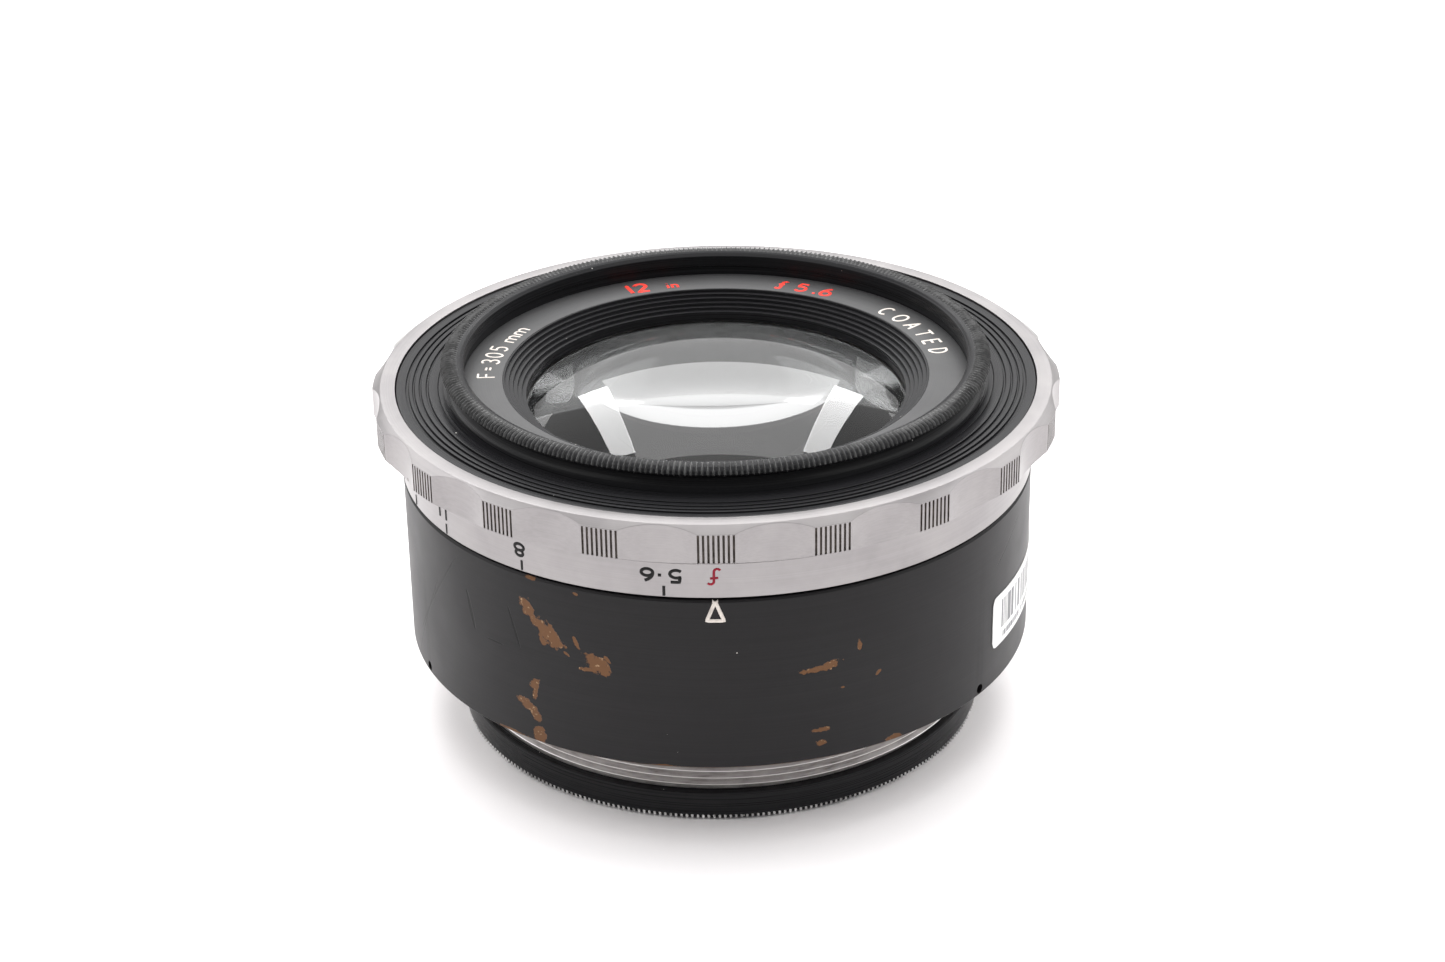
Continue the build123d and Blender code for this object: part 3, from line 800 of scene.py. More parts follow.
@made_once("materials", "thread wear and painted light")
def thread_wear_and_painted_light(name):
    """The thread: crests painted bright as a highlight, and also worn bright, over grooves painted
    darker as shade, which also hold old grease.
    """
    finish = Finish(name, colours().aluminium, 1.0, 0.4)
    depth = bpy.context.scene.lens_sizes.thread_depth
    crest = finish.pattern(crest_height(), root=THREAD_RADIUS * MM - depth, depth=depth)
    height, streaks = finish.pattern(turning_marks(), fineness=2600.0, streak_length=14.0)
    grease = streaks * finish.pattern(smudge(), scale=160.0)
    groove = mix(grease, (0.44, 0.42, 0.415), (0.13, 0.118, 0.112))
    # Painted highlight on the crests and painted shade in the grooves, on top of real wear and
    # grease
    worn_and_lit = crest.ramp(0.78, 0.9)
    finish.feed("Base Color", mix(worn_and_lit, groove, (0.86, 0.85, 0.84)))
    finish.vary_roughness(worn_and_lit, 0.55, 0.32)
    finish.bump(height, 0.00002, 0.4)


@made_once("materials")
def knurl_wear_and_painted_highlight(name, worn_and_lit, share):
    """Black anodised knurl whose ridges are painted lighter than the rim, and lighter still in a
    share of places: partly worn anodising, partly a painted highlight on the teeth.
    """
    finish = Finish(name, colours().anodised, 0.25, 0.26)
    wear = finish.pattern(smudge(), scale=110.0)
    # Spots of the ridges painted lighter: partly worn anodising, partly a painted highlight on the
    # teeth
    specks = noise(finish.tree, 900.0, 2.0).ramp(0.75 - share, 0.95 - share)
    finish.feed("Base Color", mix(specks * (wear + 0.4), (0.05, 0.05, 0.05), worn_and_lit))
    finish.vary_roughness(wear, 0.2, 0.32)


@made_once("materials", "groove grime")
def groove_grime(name):
    """Dark dirt packed in the grooves of the finger lands."""
    finish = Finish(name, (0.1, 0.08, 0.065), 0.0, 0.8)
    blotch = finish.pattern(smudge(), scale=700.0)
    finish.feed("Base Color", mix(blotch, (0.03, 0.022, 0.018), (0.13, 0.11, 0.095)))


# Places where the lacquer is worn to the brass: azimuth from the index and height of the centre,
# half width and half height in millimetres, and lean in degrees
LACQUER_CHIPS = (
    (-34.3, 40.0, 1.3, 1.0, -68), (-33.2, 38.6, 1.5, 0.55, -52), (-31.7, 37.2, 1.2, 0.6, -42),
    (-29.9, 36.2, 2.6, 1.25, -40), (-31.3, 34.9, 0.9, 0.5, -60), (-28.3, 35.0, 1.0, 0.3, -48),
    (-24.5, 35.9, 0.9, 0.3, -62), (-20.6, 32.6, 1.9, 1.2, -28), (-22.7, 31.4, 1.0, 0.35, 5),
    (-19.3, 31.7, 1.0, 0.4, -35), (-18.8, 33.9, 0.7, 0.25, -50), (-26.4, 33.4, 0.6, 0.2, -30),
    (-33.2, 26.0, 1.0, 0.7, 60), (-33.3, 24.6, 1.2, 0.4, 82), (-35.4, 21.8, 1.4, 0.75, -20),
    (-33.7, 20.8, 1.6, 0.65, -55), (-32.7, 16.9, 1.0, 1.3, 0), (-24.3, 44.7, 0.35, 0.2, -20),
    (-33.2, 45.5, 0.7, 0.25, 0), (17.6, 32.0, 2.4, 0.4, 4), (19.8, 32.4, 1.3, 0.6, 12),
    (25.1, 34.8, 0.35, 0.8, 0), (28.7, 28.9, 0.5, 0.3, 45), (22.0, 27.8, 0.3, 0.16, 0),
    (17.8, 20.7, 1.2, 0.32, 0), (17.9, 18.3, 0.75, 0.45, 0), (32.0, 15.7, 1.4, 0.5, 0),
    (-39.0, 15.6, 2.4, 0.3, 0), (-9.0, 15.4, 2.0, 0.22, 0), (150.0, 30.0, 1.6, 0.6, 30),
    (205.0, 22.0, 1.1, 0.8, -40), (118.0, 38.0, 0.9, 0.4, 10), (171.0, 16.0, 2.2, 0.5, 0),
)
# Hairline scratches: the same five measures
LACQUER_SCRATCHES = (
    (-60.5, 32.8, 6.0, 0.09, 52), (-67.0, 24.0, 6.5, 0.08, 58), (-48.1, 34.8, 1.6, 0.16, -75),
    (-37.3, 35.5, 1.7, 0.1, -72), (-42.1, 31.3, 0.9, 0.07, 0), (64.0, 40.0, 2.5, 0.07, 30),
    (140.0, 36.0, 5.0, 0.07, 20), (190.0, 28.0, 4.0, 0.07, -35),
)


def patches(finish, places, raggedness, spread):
    """The joined mask of many patches on the barrel."""
    total = None
    for azimuth, height, half_width, half_height, lean in places:
        patch = finish.pattern(
            chip(), azimuth=radians((INDEX_AZIMUTH + azimuth + 180) % 360 - 180),
            height=height * MM, half_width=half_width * spread * MM,
            half_height=half_height * spread * MM, lean=radians(lean), raggedness=raggedness,
        )
        total = patch if total is None else total.math("MAXIMUM", patch)
    return total


@made_once("materials", "barrel lacquer")
def barrel_lacquer(name):
    """Satin black lacquer, worn through to brass in places, with hairline scratches and dust."""
    lacquer = colours().lacquer
    finish = Finish(name, lacquer, 0.0, 0.42, 0.2)
    height, shade = finish.pattern(turning_marks(), fineness=3600.0, streak_length=1.2)
    scratches = patches(finish, LACQUER_SCRATCHES, 0.25, 2.2)
    edge = finish.pattern(edge_wear(), edge=BARREL_BOTTOM * MM, width=0.00022)
    chips = patches(finish, LACQUER_CHIPS, 0.8, 1.28).math("MAXIMUM", edge)
    glint = noise(finish.tree, 1500.0).ramp(0.62, 0.78)
    metal = mix(glint, shaded(colours().brass, 0.5), (0.5, 0.34, 0.2))
    specks = finish.pattern(dust(), density=0.035, scale=620.0)
    tone = mix(shade, shaded(lacquer, 0.86), shaded(lacquer, 1.14))
    tone = mix(chips, mix(scratches, tone, (0.002, 0.002, 0.002)), metal)
    finish.feed("Base Color", mix(specks, tone, (0.5, 0.48, 0.45)))
    finish.feed("Metallic", chips * 0.6)
    finish.vary_roughness(finish.pattern(smudge(), scale=45.0), 0.38, 0.47)
    finish.bump(height * 0.25 - (chips + scratches * 3.0), 0.00004, 0.7)


@made_once("materials", "black anodised")
def black_anodised(name):
    """Satin black anodised metal with fine rings and dust."""
    base = colours().anodised
    finish = Finish(name, base, 0.0, 0.3, 0.11)
    height, shade = finish.pattern(turning_marks(), fineness=6500.0, streak_length=0.8)
    specks = finish.pattern(dust(), density=0.05, scale=760.0)
    tone = mix(shade, shaded(base, 0.75), shaded(base, 1.5))
    finish.feed("Base Color", mix(specks, tone, (0.45, 0.44, 0.42)))
    finish.vary_roughness(shade, 0.24, 0.36)
    finish.bump(height, 0.00001, 0.5)


@made_once("materials", "name ring grey")
def name_ring_grey(name):
    """Matt dark grey of the name ring."""
    base = colours().name_grey
    finish = Finish(name, base, 0.0, 0.55)
    height, shade = finish.pattern(turning_marks(), fineness=7000.0, streak_length=0.6)
    finish.feed("Base Color", mix(shade, shaded(base, 0.88), shaded(base, 1.12)))
    finish.vary_roughness(finish.pattern(smudge(), scale=70.0), 0.5, 0.62)
    finish.bump(height, 0.000008, 0.4)


@made_once("materials")
def paint(name, base):
    """Enamel rubbed into engraved strokes."""
    finish = Finish(name, base, 0.0, 0.5, 0.2)
    blotch = finish.pattern(smudge(), scale=500.0)
    finish.feed("Base Color", mix(blotch, base, shaded(base, 0.72)))


@made_once("materials")
def inner_metal(name, base, metallic, roughness):
    """Metal of the inner rings, screws and blades, with lathe rings."""
    finish = Finish(name, base, metallic, roughness)
    shade = finish.pattern(turning_marks(), fineness=5000.0, streak_length=0.8)[1]
    finish.feed("Base Color", mix(shade, shaded(base, 0.94), base))
    finish.vary_roughness(shade, roughness * 0.96, roughness * 1.04)


@made_once("materials", "optical glass")
def optical_glass(name):
    """Clear coated glass, which shadow rays cross without bending."""
    finish = Finish(name, (0.97, 0.98, 0.98), 0.0, 0.0)
    finish.feed("Transmission Weight", 1.0)
    finish.feed("IOR", 1.5)
    tree = finish.tree
    clear = tree.nodes.new("ShaderNodeBsdfTransparent")
    clear.inputs["Color"].default_value = (0.93, 0.93, 0.93, 1)
    path = tree.nodes.new("ShaderNodeLightPath")
    pick = tree.nodes.new("ShaderNodeMixShader")
    connect(tree, (path, "Is Shadow Ray", pick, 0), (finish.shader, 0, pick, 1),
            (clear, 0, pick, 2), (pick, 0, tree.nodes["Material Output"], "Surface"))


@made_once("materials", "label paper")
def label_paper(name):
    """White label paper with grey bars and a row of dashes printed on it."""
    base = colours().paper
    finish = Finish(name, base, 0.0, 0.55)
    tree = finish.tree
    layout = tree.nodes.new("ShaderNodeUVMap")
    layout.uv_map = "label"
    across, up = parts_of(Value(tree, layout.outputs[0]))[:2]

    def printed(columns, share, *bounds):
        """A share of the columns, within the bounds across and up."""
        chance = tree.nodes.new("ShaderNodeTexWhiteNoise")
        chance.noise_dimensions = "1D"
        feed(tree, (across * columns).math("FLOOR"), chance.inputs["W"])
        mask = Value(tree, chance.outputs["Value"]).math("LESS_THAN", share)
        for place, (low, high) in zip((across, up), bounds):
            mask = mask * place.math("GREATER_THAN", low) * place.math("LESS_THAN", high)
        return mask

    bars = printed(110.0, 0.48, (0.07, 0.78), (0.3, 0.86))
    dashes = printed(190.0, 0.6, (0.12, 0.7), (0.095, 0.205))
    fibre = noise(tree, 2500.0, 2.0)
    tone = mix(fibre.ramp(0.3, 0.7), shaded(base, 0.96), base)
    finish.feed("Base Color", mix(bars.math("MAXIMUM", dashes), tone, (0.2, 0.2, 0.21)))
    finish.bump(fibre, 0.00001, 0.4)


# ---- Operators ---------------------------------------------------------------------------------
class PieceOperator(bpy.types.Operator):
    """Shared settings of the operators that make pieces."""

    bl_options = {"REGISTER", "UNDO"}

    def execute(self, context):
        self.make(context.scene.lens_sizes)
        return {"FINISHED"}


class LENS_OT_barrel(PieceOperator):
    """Turns the lacquered barrel, drills its screw holes and paints its index mark"""

    bl_idname = "lens.barrel"
    bl_label = "Barrel"

    def make(self, sizes):
        tube_radius = 49.3
        tube_bore = 46.6
        tube_bottom = 29.5
        ledge_top = 32.0
        web_bottom = SHELL_TOP - 3.0
        lip = 0.35
        outline = [
            (SHELL_BORE, BARREL_BOTTOM), (BARREL_RADIUS - lip, BARREL_BOTTOM),
            (BARREL_RADIUS, BARREL_BOTTOM + lip), (BARREL_RADIUS, SHELL_TOP - lip),
            (BARREL_RADIUS - lip, SHELL_TOP), (tube_radius, SHELL_TOP), (tube_radius, TUBE_TOP),
            (tube_bore, TUBE_TOP), (tube_bore, ledge_top), (LEDGE_BORE, ledge_top),
            (LEDGE_BORE, tube_bottom), (tube_radius, tube_bottom), (tube_radius, web_bottom),
            (SHELL_BORE, web_bottom),
        ]
        barrel = turn("barrel", outline, barrel_lacquer())
        screws = 3
        screw_radius = 0.85
        first_screw = INDEX_AZIMUTH - 66
        screw_height = BARREL_BOTTOM + 1.3
        slot_margin = 1.4
        slot_bottom, slot_top = 48.25, 50.55
        through = 1
        cutters = [
            peg_cutter(SHELL_BORE - through, BARREL_RADIUS + through,
                       first_screw + 360 / screws * i, screw_height, screw_radius)
            for i in range(screws)
        ]
        slot = [(tube_bore - through, slot_bottom), (tube_radius + through, slot_bottom),
                (tube_radius + through, slot_top), (tube_bore - through, slot_top)]
        cutters.append(sector_cutter(slot, INDEX_AZIMUTH + 180 - slot_margin,
                                     RING_TRAVEL + 2 * slot_margin))
        cut(barrel, cutters)
        fit(barrel, BARREL_BODY, "main_barrel")
        apex = SHELL_TOP - 0.15
        base = apex - 3.4
        half = 1.35
        line_width = 0.64
        triangle = [(0, apex), (half, base), (-half, base), (0, apex)]
        index = engrave("index_mark", [triangle], on_barrel(INDEX_AZIMUTH, 0), line_width,
                        paint("cream paint", colours().cream))
        fit(index, BARREL_BODY)


class LENS_OT_aperture_ring(PieceOperator):
    """Mills the aperture ring's scallops and grooves and engraves its scale"""

    bl_idname = "lens.aperture_ring"
    bl_label = "Aperture ring"

    def columns(self, sizes):
        """Azimuth, outer reach and groove floor at each station round the ring."""
        axis_gap = LAND_RADIUS - sizes.scallop_depth / MM + sizes.scallop_radius / MM
        cutter = sizes.scallop_radius / MM
        pitch = 360 / sizes.land_count
        crossing = (LAND_RADIUS**2 + axis_gap**2 - cutter**2) / (2 * LAND_RADIUS * axis_gap)
        scallop_half = degrees(acos(crossing))
        land_half = pitch / 2 - scallop_half
        groove_half = 0.13
        groove_wall = 0.05
        groove_floor = LAND_RADIUS - sizes.groove_depth / MM
        spread = land_half - 0.2
        scallop_steps = 26
        land_phase = 0.35
        for land in range(sizes.land_count):
            centre = INDEX_AZIMUTH + land_phase + land * pitch
            yield centre - land_half, LAND_RADIUS, LAND_RADIUS
            for i in range(sizes.land_grooves):
                groove = centre - spread + 2 * spread * i / (sizes.land_grooves - 1)
                yield groove - groove_half - groove_wall, LAND_RADIUS, LAND_RADIUS
                yield groove - groove_half, LAND_RADIUS, groove_floor
                yield groove + groove_half, LAND_RADIUS, groove_floor
                yield groove + groove_half + groove_wall, LAND_RADIUS, LAND_RADIUS
            yield centre + land_half, LAND_RADIUS, LAND_RADIUS
            scallop = centre + pitch / 2
            for i in range(1, scallop_steps):
                offset = scallop_half * (2 * i / scallop_steps - 1)
                drop = sqrt(cutter**2 - (axis_gap * sin(radians(offset))) ** 2)
                reach = axis_gap * cos(radians(offset)) - drop
                yield scallop + offset, reach, reach

    def outline(self, reach, floor):
        """The ring's outline where its outside is cut back to `reach`, with a groove to `floor`."""
        face_inner = 54.05
        face_outer = 56.55
        chamfer = 1.05
        cone_top = 54.75
        cone_slope = (cone_top - SCALE_TOP) / (LAND_RADIUS - SCALE_RADIUS)
        chamfer_slope = chamfer / (LAND_RADIUS - face_outer)
        seat = TUBE_TOP - 0.2
        cone_end = SCALE_TOP + (reach - SCALE_RADIUS) * cone_slope
        chamfer_foot = RING_TOP - (reach - face_outer) * chamfer_slope
        groove_foot = cone_end + 0.05
        groove_head = chamfer_foot - 0.12
        return soften([
            (RING_BORE, RING_FOOT), (SHELL_BORE, RING_FOOT), (SHELL_BORE, SCALE_BOTTOM),
            (SCALE_RADIUS, SCALE_BOTTOM), (SCALE_RADIUS, SCALE_TOP), (reach, cone_end),
            (floor, groove_foot), (floor, groove_head), (reach, groove_head), (reach, chamfer_foot),
            (face_outer, RING_TOP), (face_inner, RING_TOP), (face_inner, seat), (RING_BORE, seat),
        ], 0.09)

    def make(self, sizes):
        stations = list(self.columns(sizes))
        columns = [(azimuth, self.outline(reach, floor)) for azimuth, reach, floor in stations]
        corner_points = CORNER_STEPS + 1
        groove_faces = range(6 * corner_points, 8 * corner_points)
        grooved = [reach > floor for _, reach, floor in stations]

        def slot_of(i, k):
            beside = grooved[i] or grooved[(i + 1) % len(stations)]
            return 1 if beside and k in groove_faces else 0

        materials = [turned_aluminium(), groove_grime()]
        ring = ring_of_columns("scalloped_ring", columns, materials, slot_of)
        fit(ring, RING_BODY, "aperture_ring")
        self.engrave_scale()

    def engrave_scale(self):
        ink = paint("scale ink", colours().ink)
        stops = (("5-6", 8.5), ("8", 34.8), ("11", 54.4), ("16", 67.4), ("22", 78.0))
        tick_top = SCALE_BOTTOM + 1.9
        tick_bottom = SCALE_BOTTOM + 0.2
        digits_top = tick_top + 0.75
        digit_height = 2.1
        number_lead = 0.5
        tick_width, digit_width, letter_width = 0.54, 0.6, 0.46
        marks = []
        for stop, turned in stops:
            azimuth = INDEX_AZIMUTH - turned
            marks.append(engrave(
                f"scale_tick_{stop}", [[(0, 0), (0, tick_top - tick_bottom)]],
                on_scale(azimuth, tick_top), tick_width, ink,
            ))
            marks.append(engrave(
                f"scale_number_{stop}", lettering(stop, digit_height, 0.3, 1.55),
                on_scale(azimuth - number_lead, digits_top + digit_height), digit_width, ink,
            ))
        marks.append(engrave(
            "scale_letter_f", lettering("f", 2.7, 0.2, 1.5),
            on_scale(INDEX_AZIMUTH, digits_top + 2.45), letter_width,
            paint("dark red paint", colours().dark_red),
        ))
        for mark in marks:
            fit(mark, RING_BODY)


class LENS_OT_front_flange(PieceOperator):
    """Turns the ribbed flange inside the aperture ring"""

    bl_idname = "lens.front_flange"
    bl_label = "Front flange"

    def make(self, sizes):
        grooves = ((52.0, 0.5), (50.95, 0.35), (49.85, 0.35), (48.65, 0.4))
        depth = 0.45
        outline = [(FLANGE_BORE, FLANGE_FOOT), (FLANGE_RADIUS, FLANGE_FOOT),
                   (FLANGE_RADIUS, FLANGE_TOP)]
        for radius, width in grooves:
            outer, inner = radius + width / 2, radius - width / 2
            outline += [(outer, FLANGE_TOP), (outer, FLANGE_TOP - depth),
                        (inner, FLANGE_TOP - depth), (inner, FLANGE_TOP)]
        outline.append((FLANGE_BORE, FLANGE_TOP))
        fit(turn("ribbed_flange", outline, black_anodised(), 0.12), BARREL_BODY, "front_flange")


class LENS_OT_front_cell(PieceOperator):
    """Turns the front cell with its flared neck"""

    bl_idname = "lens.front_cell"
    bl_label = "Front cell"

    def make(self, sizes):
        neck_bore = 42.8
        flare = 2.0
        foot = FLANGE_TOP - 0.1
        flange_bottom = 53.6
        seat = 56.0
        bore = 33.7
        wall = bore + 3
        lip_top = CELL_BOTTOM + 1.4
        flange_top = TUBE_TOP + 0.02
        name_seat = NAME_BORE + 0.2
        cell_radius = 46.58
        arc = bow(NECK_RADIUS + flare, foot + flare, flare, flare, 270, 180, 8)
        outline = [
            *arc, (NECK_RADIUS, NECK_TOP), (neck_bore, NECK_TOP), (neck_bore, NAME_FOOT),
            (name_seat, NAME_FOOT), (name_seat, seat), (bore, seat), (bore, lip_top),
            (CELL_LIP, lip_top), (CELL_LIP, CELL_BOTTOM), (wall, CELL_BOTTOM),
            (wall, flange_bottom), (cell_radius, flange_bottom), (cell_radius, flange_top),
            (CELL_RADIUS, flange_top), (CELL_RADIUS, foot),
        ]
        fit(turn("flared_cell", outline, black_anodised(), 0.06), BARREL_BODY, "front_cell")


class LENS_OT_front_rim(PieceOperator):
    """Turns the front rim and knurls its slanted band"""

    bl_idname = "lens.front_rim"
    bl_label = "Front rim"

    def make(self, sizes):
        tooth = sizes.tooth_height / MM
        root = RIM_RADIUS - tooth
        overhang = RIM_FOOT + 1.0
        profile = ((0.05, 0.2), (0.0, 0.5), (0.25, 1.0), (0.85, 1.4), (1.8, 1.55), (2.5, 1.5))
        bead = [(root - inset, overhang + rise) for inset, rise in profile]
        outline = [
            (RIM_BORE, RIM_FOOT), (NECK_RADIUS, RIM_FOOT), (NECK_RADIUS, overhang),
            (root - 0.3, overhang), *bead, (RIM_BORE + 0.55, RIM_TOP - 0.5),
            (RIM_BORE, RIM_TOP - 0.9),
        ]
        rim = turn("rim_body", outline, black_anodised(), 0.1)
        fit(rim, BARREL_BODY, "front_rim")
        half_width = pi * RIM_RADIUS / sizes.front_teeth * RIDGE_SHARE
        knurl = ridge_seed("rim_knurl", bead, half_width, tooth)
        # The ridges are painted lighter than the rim, more so in places: a painted highlight on the
        # teeth, partly wear
        run_tree(knurl, repeat_about_axis(), count=sizes.front_teeth,
                 finish=knurl_wear_and_painted_highlight("rubbed front knurl", (0.1, 0.1, 0.1), 0.35))
        fit(knurl, BARREL_BODY)


class LENS_OT_name_ring(PieceOperator):
    """Turns the name ring and fills its lettering"""

    bl_idname = "lens.name_ring"
    bl_label = "Name ring"

    def make(self, sizes):
        outline = [(NAME_BORE, NAME_FOOT), (NAME_RADIUS, NAME_FOOT), (NAME_RADIUS, NAME_TOP),
                   (NAME_BORE, NAME_TOP)]
        fit(turn("name_plate", outline, name_ring_grey(), 0.06), BARREL_BODY, "name_ring")
        cream = paint("cream paint", colours().cream)
        red = paint("red paint", colours().red)
        baseline = NAME_BORE + 1.3
        # Name, text, letter height, spacing, azimuth of the middle, paint and stroke width
        lines = (
            ("name_focal_mm", "F=305 mm", 2.9, 0.3, 166.5, cream, 0.42),
            ("name_inches", "12", 3.5, 1.6, 111.9, red, 0.8),
            ("name_inch_unit", "in", 2.5, 1.7, 104.8, red, 0.5),
            ("name_aperture", "f 5.6", 3.2, 0.45, 66.0, red, 0.7),
            ("name_coating", "COATED", 3.0, 0.64, 25.0, cream, 0.5),
        )
        for name, text, height, spacing, azimuth, enamel, width in lines:
            strokes = lettering(text, height, spacing)
            line = engrave(name, strokes, on_name_ring(azimuth, baseline), width, enamel)
            fit(line, BARREL_BODY)


class LENS_OT_stepped_ring(PieceOperator):
    """Turns the stepped ring that holds the front glass"""

    bl_idname = "lens.stepped_ring"
    bl_label = "Stepped retaining ring"

    def make(self, sizes):
        steps = 5
        width = 0.7
        drop = 0.58
        rim = 0.35
        outline = [(STEP_RADIUS, STEP_FOOT), (STEP_RADIUS, STEP_TOP)]
        for step in range(steps):
            edge = STEP_RADIUS - rim - step * width
            outline += [(edge, STEP_TOP - step * drop), (edge, STEP_TOP - (step + 1) * drop)]
        outline += [(GLASS_CLEAR, STEP_TOP - steps * drop), (GLASS_CLEAR, STEP_FOOT)]
        ring = turn("stepped_ring", outline, black_anodised(), 0.07)
        fit(ring, BARREL_BODY, "front_retaining_ring")


def sag(curvature, clear):
    """How deep a spherical surface is at its clear radius."""
    return curvature - sqrt(curvature**2 - clear**2)


def surface(vertex, curvature, clear, steps=40):
    """A spherical surface from the axis to its clear radius. Its centre is towards -Z where the
    curvature radius is positive, and zero stands for a flat surface."""
    points = []
    for i in range(steps + 1):
        r = clear * i / steps
        side = 1 if curvature > 0 else -1
        drop = side * sag(abs(curvature), r) if curvature else 0.0
        points.append((r, vertex - drop))
    return points


class LENS_OT_glass(PieceOperator):
    """Polishes the four glass elements"""

    bl_idname = "lens.glass"
    bl_label = "Glass elements"

    def element(self, name, node, front, rear):
        """Each side has its vertex height, its curvature radius and its clear radius."""
        radius = turned_size(node)[0]
        front_side, rear_side = surface(*front), surface(*rear)
        rim = [(radius, front_side[-1][1]), (radius, rear_side[-1][1])]
        profile = front_side + rim + rear_side[::-1]
        fit(turn_disc(name, profile, optical_glass()), BARREL_BODY, node)

    def make(self, sizes):
        bottom, top = turned_size("front_element")[2:]
        self.element("front_crown", "front_element",
                     (top, 85.0, GLASS_CLEAR), (bottom, 0.0, GLASS_CLEAR))
        clear, front, rear = 29.0, 150.0, 95.0
        bottom, top = turned_size("negative_element")[2:]
        self.element("negative_glass", "negative_element",
                     (top - sag(front, clear), -front, clear),
                     (bottom + sag(rear, clear), rear, clear))
        clear, front, cemented, rear = 30.8, 200.0, 400.0, 90.0
        radius, _, bottom, cement = turned_size("rear_positive_element")
        joint = (cement, cemented, radius - 0.4)
        self.element("rear_positive_glass", "rear_positive_element",
                     joint, (bottom, -rear, clear))
        top = turned_size("rear_negative_element")[3]
        self.element("rear_negative_glass", "rear_negative_element",
                     (top - sag(front, clear), -front, clear), joint)


class LENS_OT_rear(PieceOperator):
    """Turns the rear cell and its knurl, and winds the mounting thread"""

    bl_idname = "lens.rear"
    bl_label = "Rear cell and thread"

    def make(self, sizes):
        self.make_cell(sizes)
        self.make_sleeve(sizes)

    def make_cell(self, sizes):
        gap = 0.02
        rim_top = SLEEVE_FOOT - gap
        cell_radius = SLEEVE_BORE - gap
        bore = 32.2
        lip_top, lip_bottom = 7.9, 6.4
        mouth = 35.0
        tooth = 0.24
        chamfer_foot = (REAR_RADIUS - 0.8, REAR_BOTTOM + 0.05)
        chamfer_head = (REAR_RADIUS - tooth, REAR_BOTTOM + 0.5)
        band_head = (REAR_RADIUS - tooth, REAR_BOTTOM + 1.0)
        outline = [
            (mouth, REAR_BOTTOM), (REAR_RADIUS - 1.0, REAR_BOTTOM), chamfer_foot, chamfer_head,
            band_head, (REAR_RADIUS, REAR_BOTTOM + 1.2), (REAR_RADIUS, rim_top - 0.2),
            (REAR_RADIUS - 0.2, rim_top),
            (cell_radius, rim_top), (cell_radius, REAR_TOP), (bore, REAR_TOP),
            (bore, lip_top), (REAR_LIP, lip_top), (REAR_LIP, lip_bottom),
        ]
        fit(turn("rear_cell_body", outline, black_anodised(), 0.08), BARREL_BODY, "rear_cell")
        half_width = pi * REAR_RADIUS / sizes.rear_teeth * RIDGE_SHARE
        band = [chamfer_foot, chamfer_head, (band_head[0], band_head[1] - 0.15), band_head]
        knurl = ridge_seed("rear_knurl", band, half_width, tooth - 0.02)
        # Half the rear ridges painted near white in places: painted highlights on the teeth, partly
        # worn anodising
        run_tree(knurl, repeat_about_axis(), count=sizes.rear_teeth,
                 finish=knurl_wear_and_painted_highlight("rubbed rear knurl", (0.8, 0.79, 0.78), 0.5))
        fit(knurl, BARREL_BODY)

    def make_sleeve(self, sizes):
        root = THREAD_RADIUS - sizes.thread_depth / MM
        shoulder = BARREL_BOTTOM + 0.3
        outline = [
            (SLEEVE_BORE, SLEEVE_FOOT), (root, SLEEVE_FOOT), (root, shoulder),
            (SLEEVE_RADIUS, shoulder), (SLEEVE_RADIUS, SLEEVE_TOP), (SLEEVE_BORE, SLEEVE_TOP),
        ]
        # The thread's colour holds a painted highlight on its crests and painted shade in its
        # grooves, besides grease
        sleeve = turn("threaded_sleeve", outline, thread_wear_and_painted_light())
        fit(sleeve, BARREL_BODY, "mount_sleeve")
        wound = shoulder - SLEEVE_FOOT - 1.6
        lead_in = 0.75
        wire = finish_mesh("mount_thread", [Vector((0, 0, 0))], [])
        run_tree(
            wire, thread_tree(), turns=wound * MM / sizes.thread_pitch, root_radius=root * MM,
            length=wound * MM, ridge_radius=sizes.thread_depth, finish=thread_wear_and_painted_light(),
        )
        for vertex in wire.data.vertices:
            vertex.co.z += (SLEEVE_FOOT + lead_in) * MM
        fit(wire, BARREL_BODY)


class LENS_OT_label(PieceOperator):
    """Sticks the stock label on the barrel"""

    bl_idname = "lens.label"
    bl_label = "Paper label"

    def make(self, sizes):
        start = INDEX_AZIMUTH + 58.0
        sweep = 34.0
        corner = 1.2
        inner = BARREL_RADIUS + 0.02
        thickness = 0.12
        width = radians(sweep) * inner
        height = LABEL_TOP - LABEL_FOOT
        columns = 72
        vertices = []
        for i in range(columns + 1):
            across = width * i / columns
            edge = max(corner - across, corner - (width - across), 0.0)
            trim = corner - sqrt(max(corner**2 - edge**2, 0.0))
            azimuth = start + degrees(across / inner)
            for radius in (inner, inner + thickness):
                for up in (trim, height - trim):
                    vertices.append(on_circle(radius, azimuth, LABEL_FOOT + up))
        last = 4 * columns
        faces = [(0, 1, 3, 2), (last, last + 1, last + 3, last + 2)]
        for i in range(columns):
            a, b = 4 * i, 4 * (i + 1)
            faces += [(a, a + 1, b + 1, b), (a + 2, a + 3, b + 3, b + 2),
                      (a, a + 2, b + 2, b), (a + 1, a + 3, b + 3, b + 1)]
        label = finish_mesh("stock_label", vertices, faces, [label_paper()])
        layout = label.data.uv_layers.new(name="label")
        for loop in label.data.loops:
            point = label.data.vertices[loop.vertex_index].co / MM
            azimuth = degrees(atan2(point.y, point.x))
            place = ((azimuth - start) / sweep, (point.z - LABEL_FOOT) / height)
            layout.data[loop.index].uv = place
        fit(label, BARREL_BODY, "paper_label")


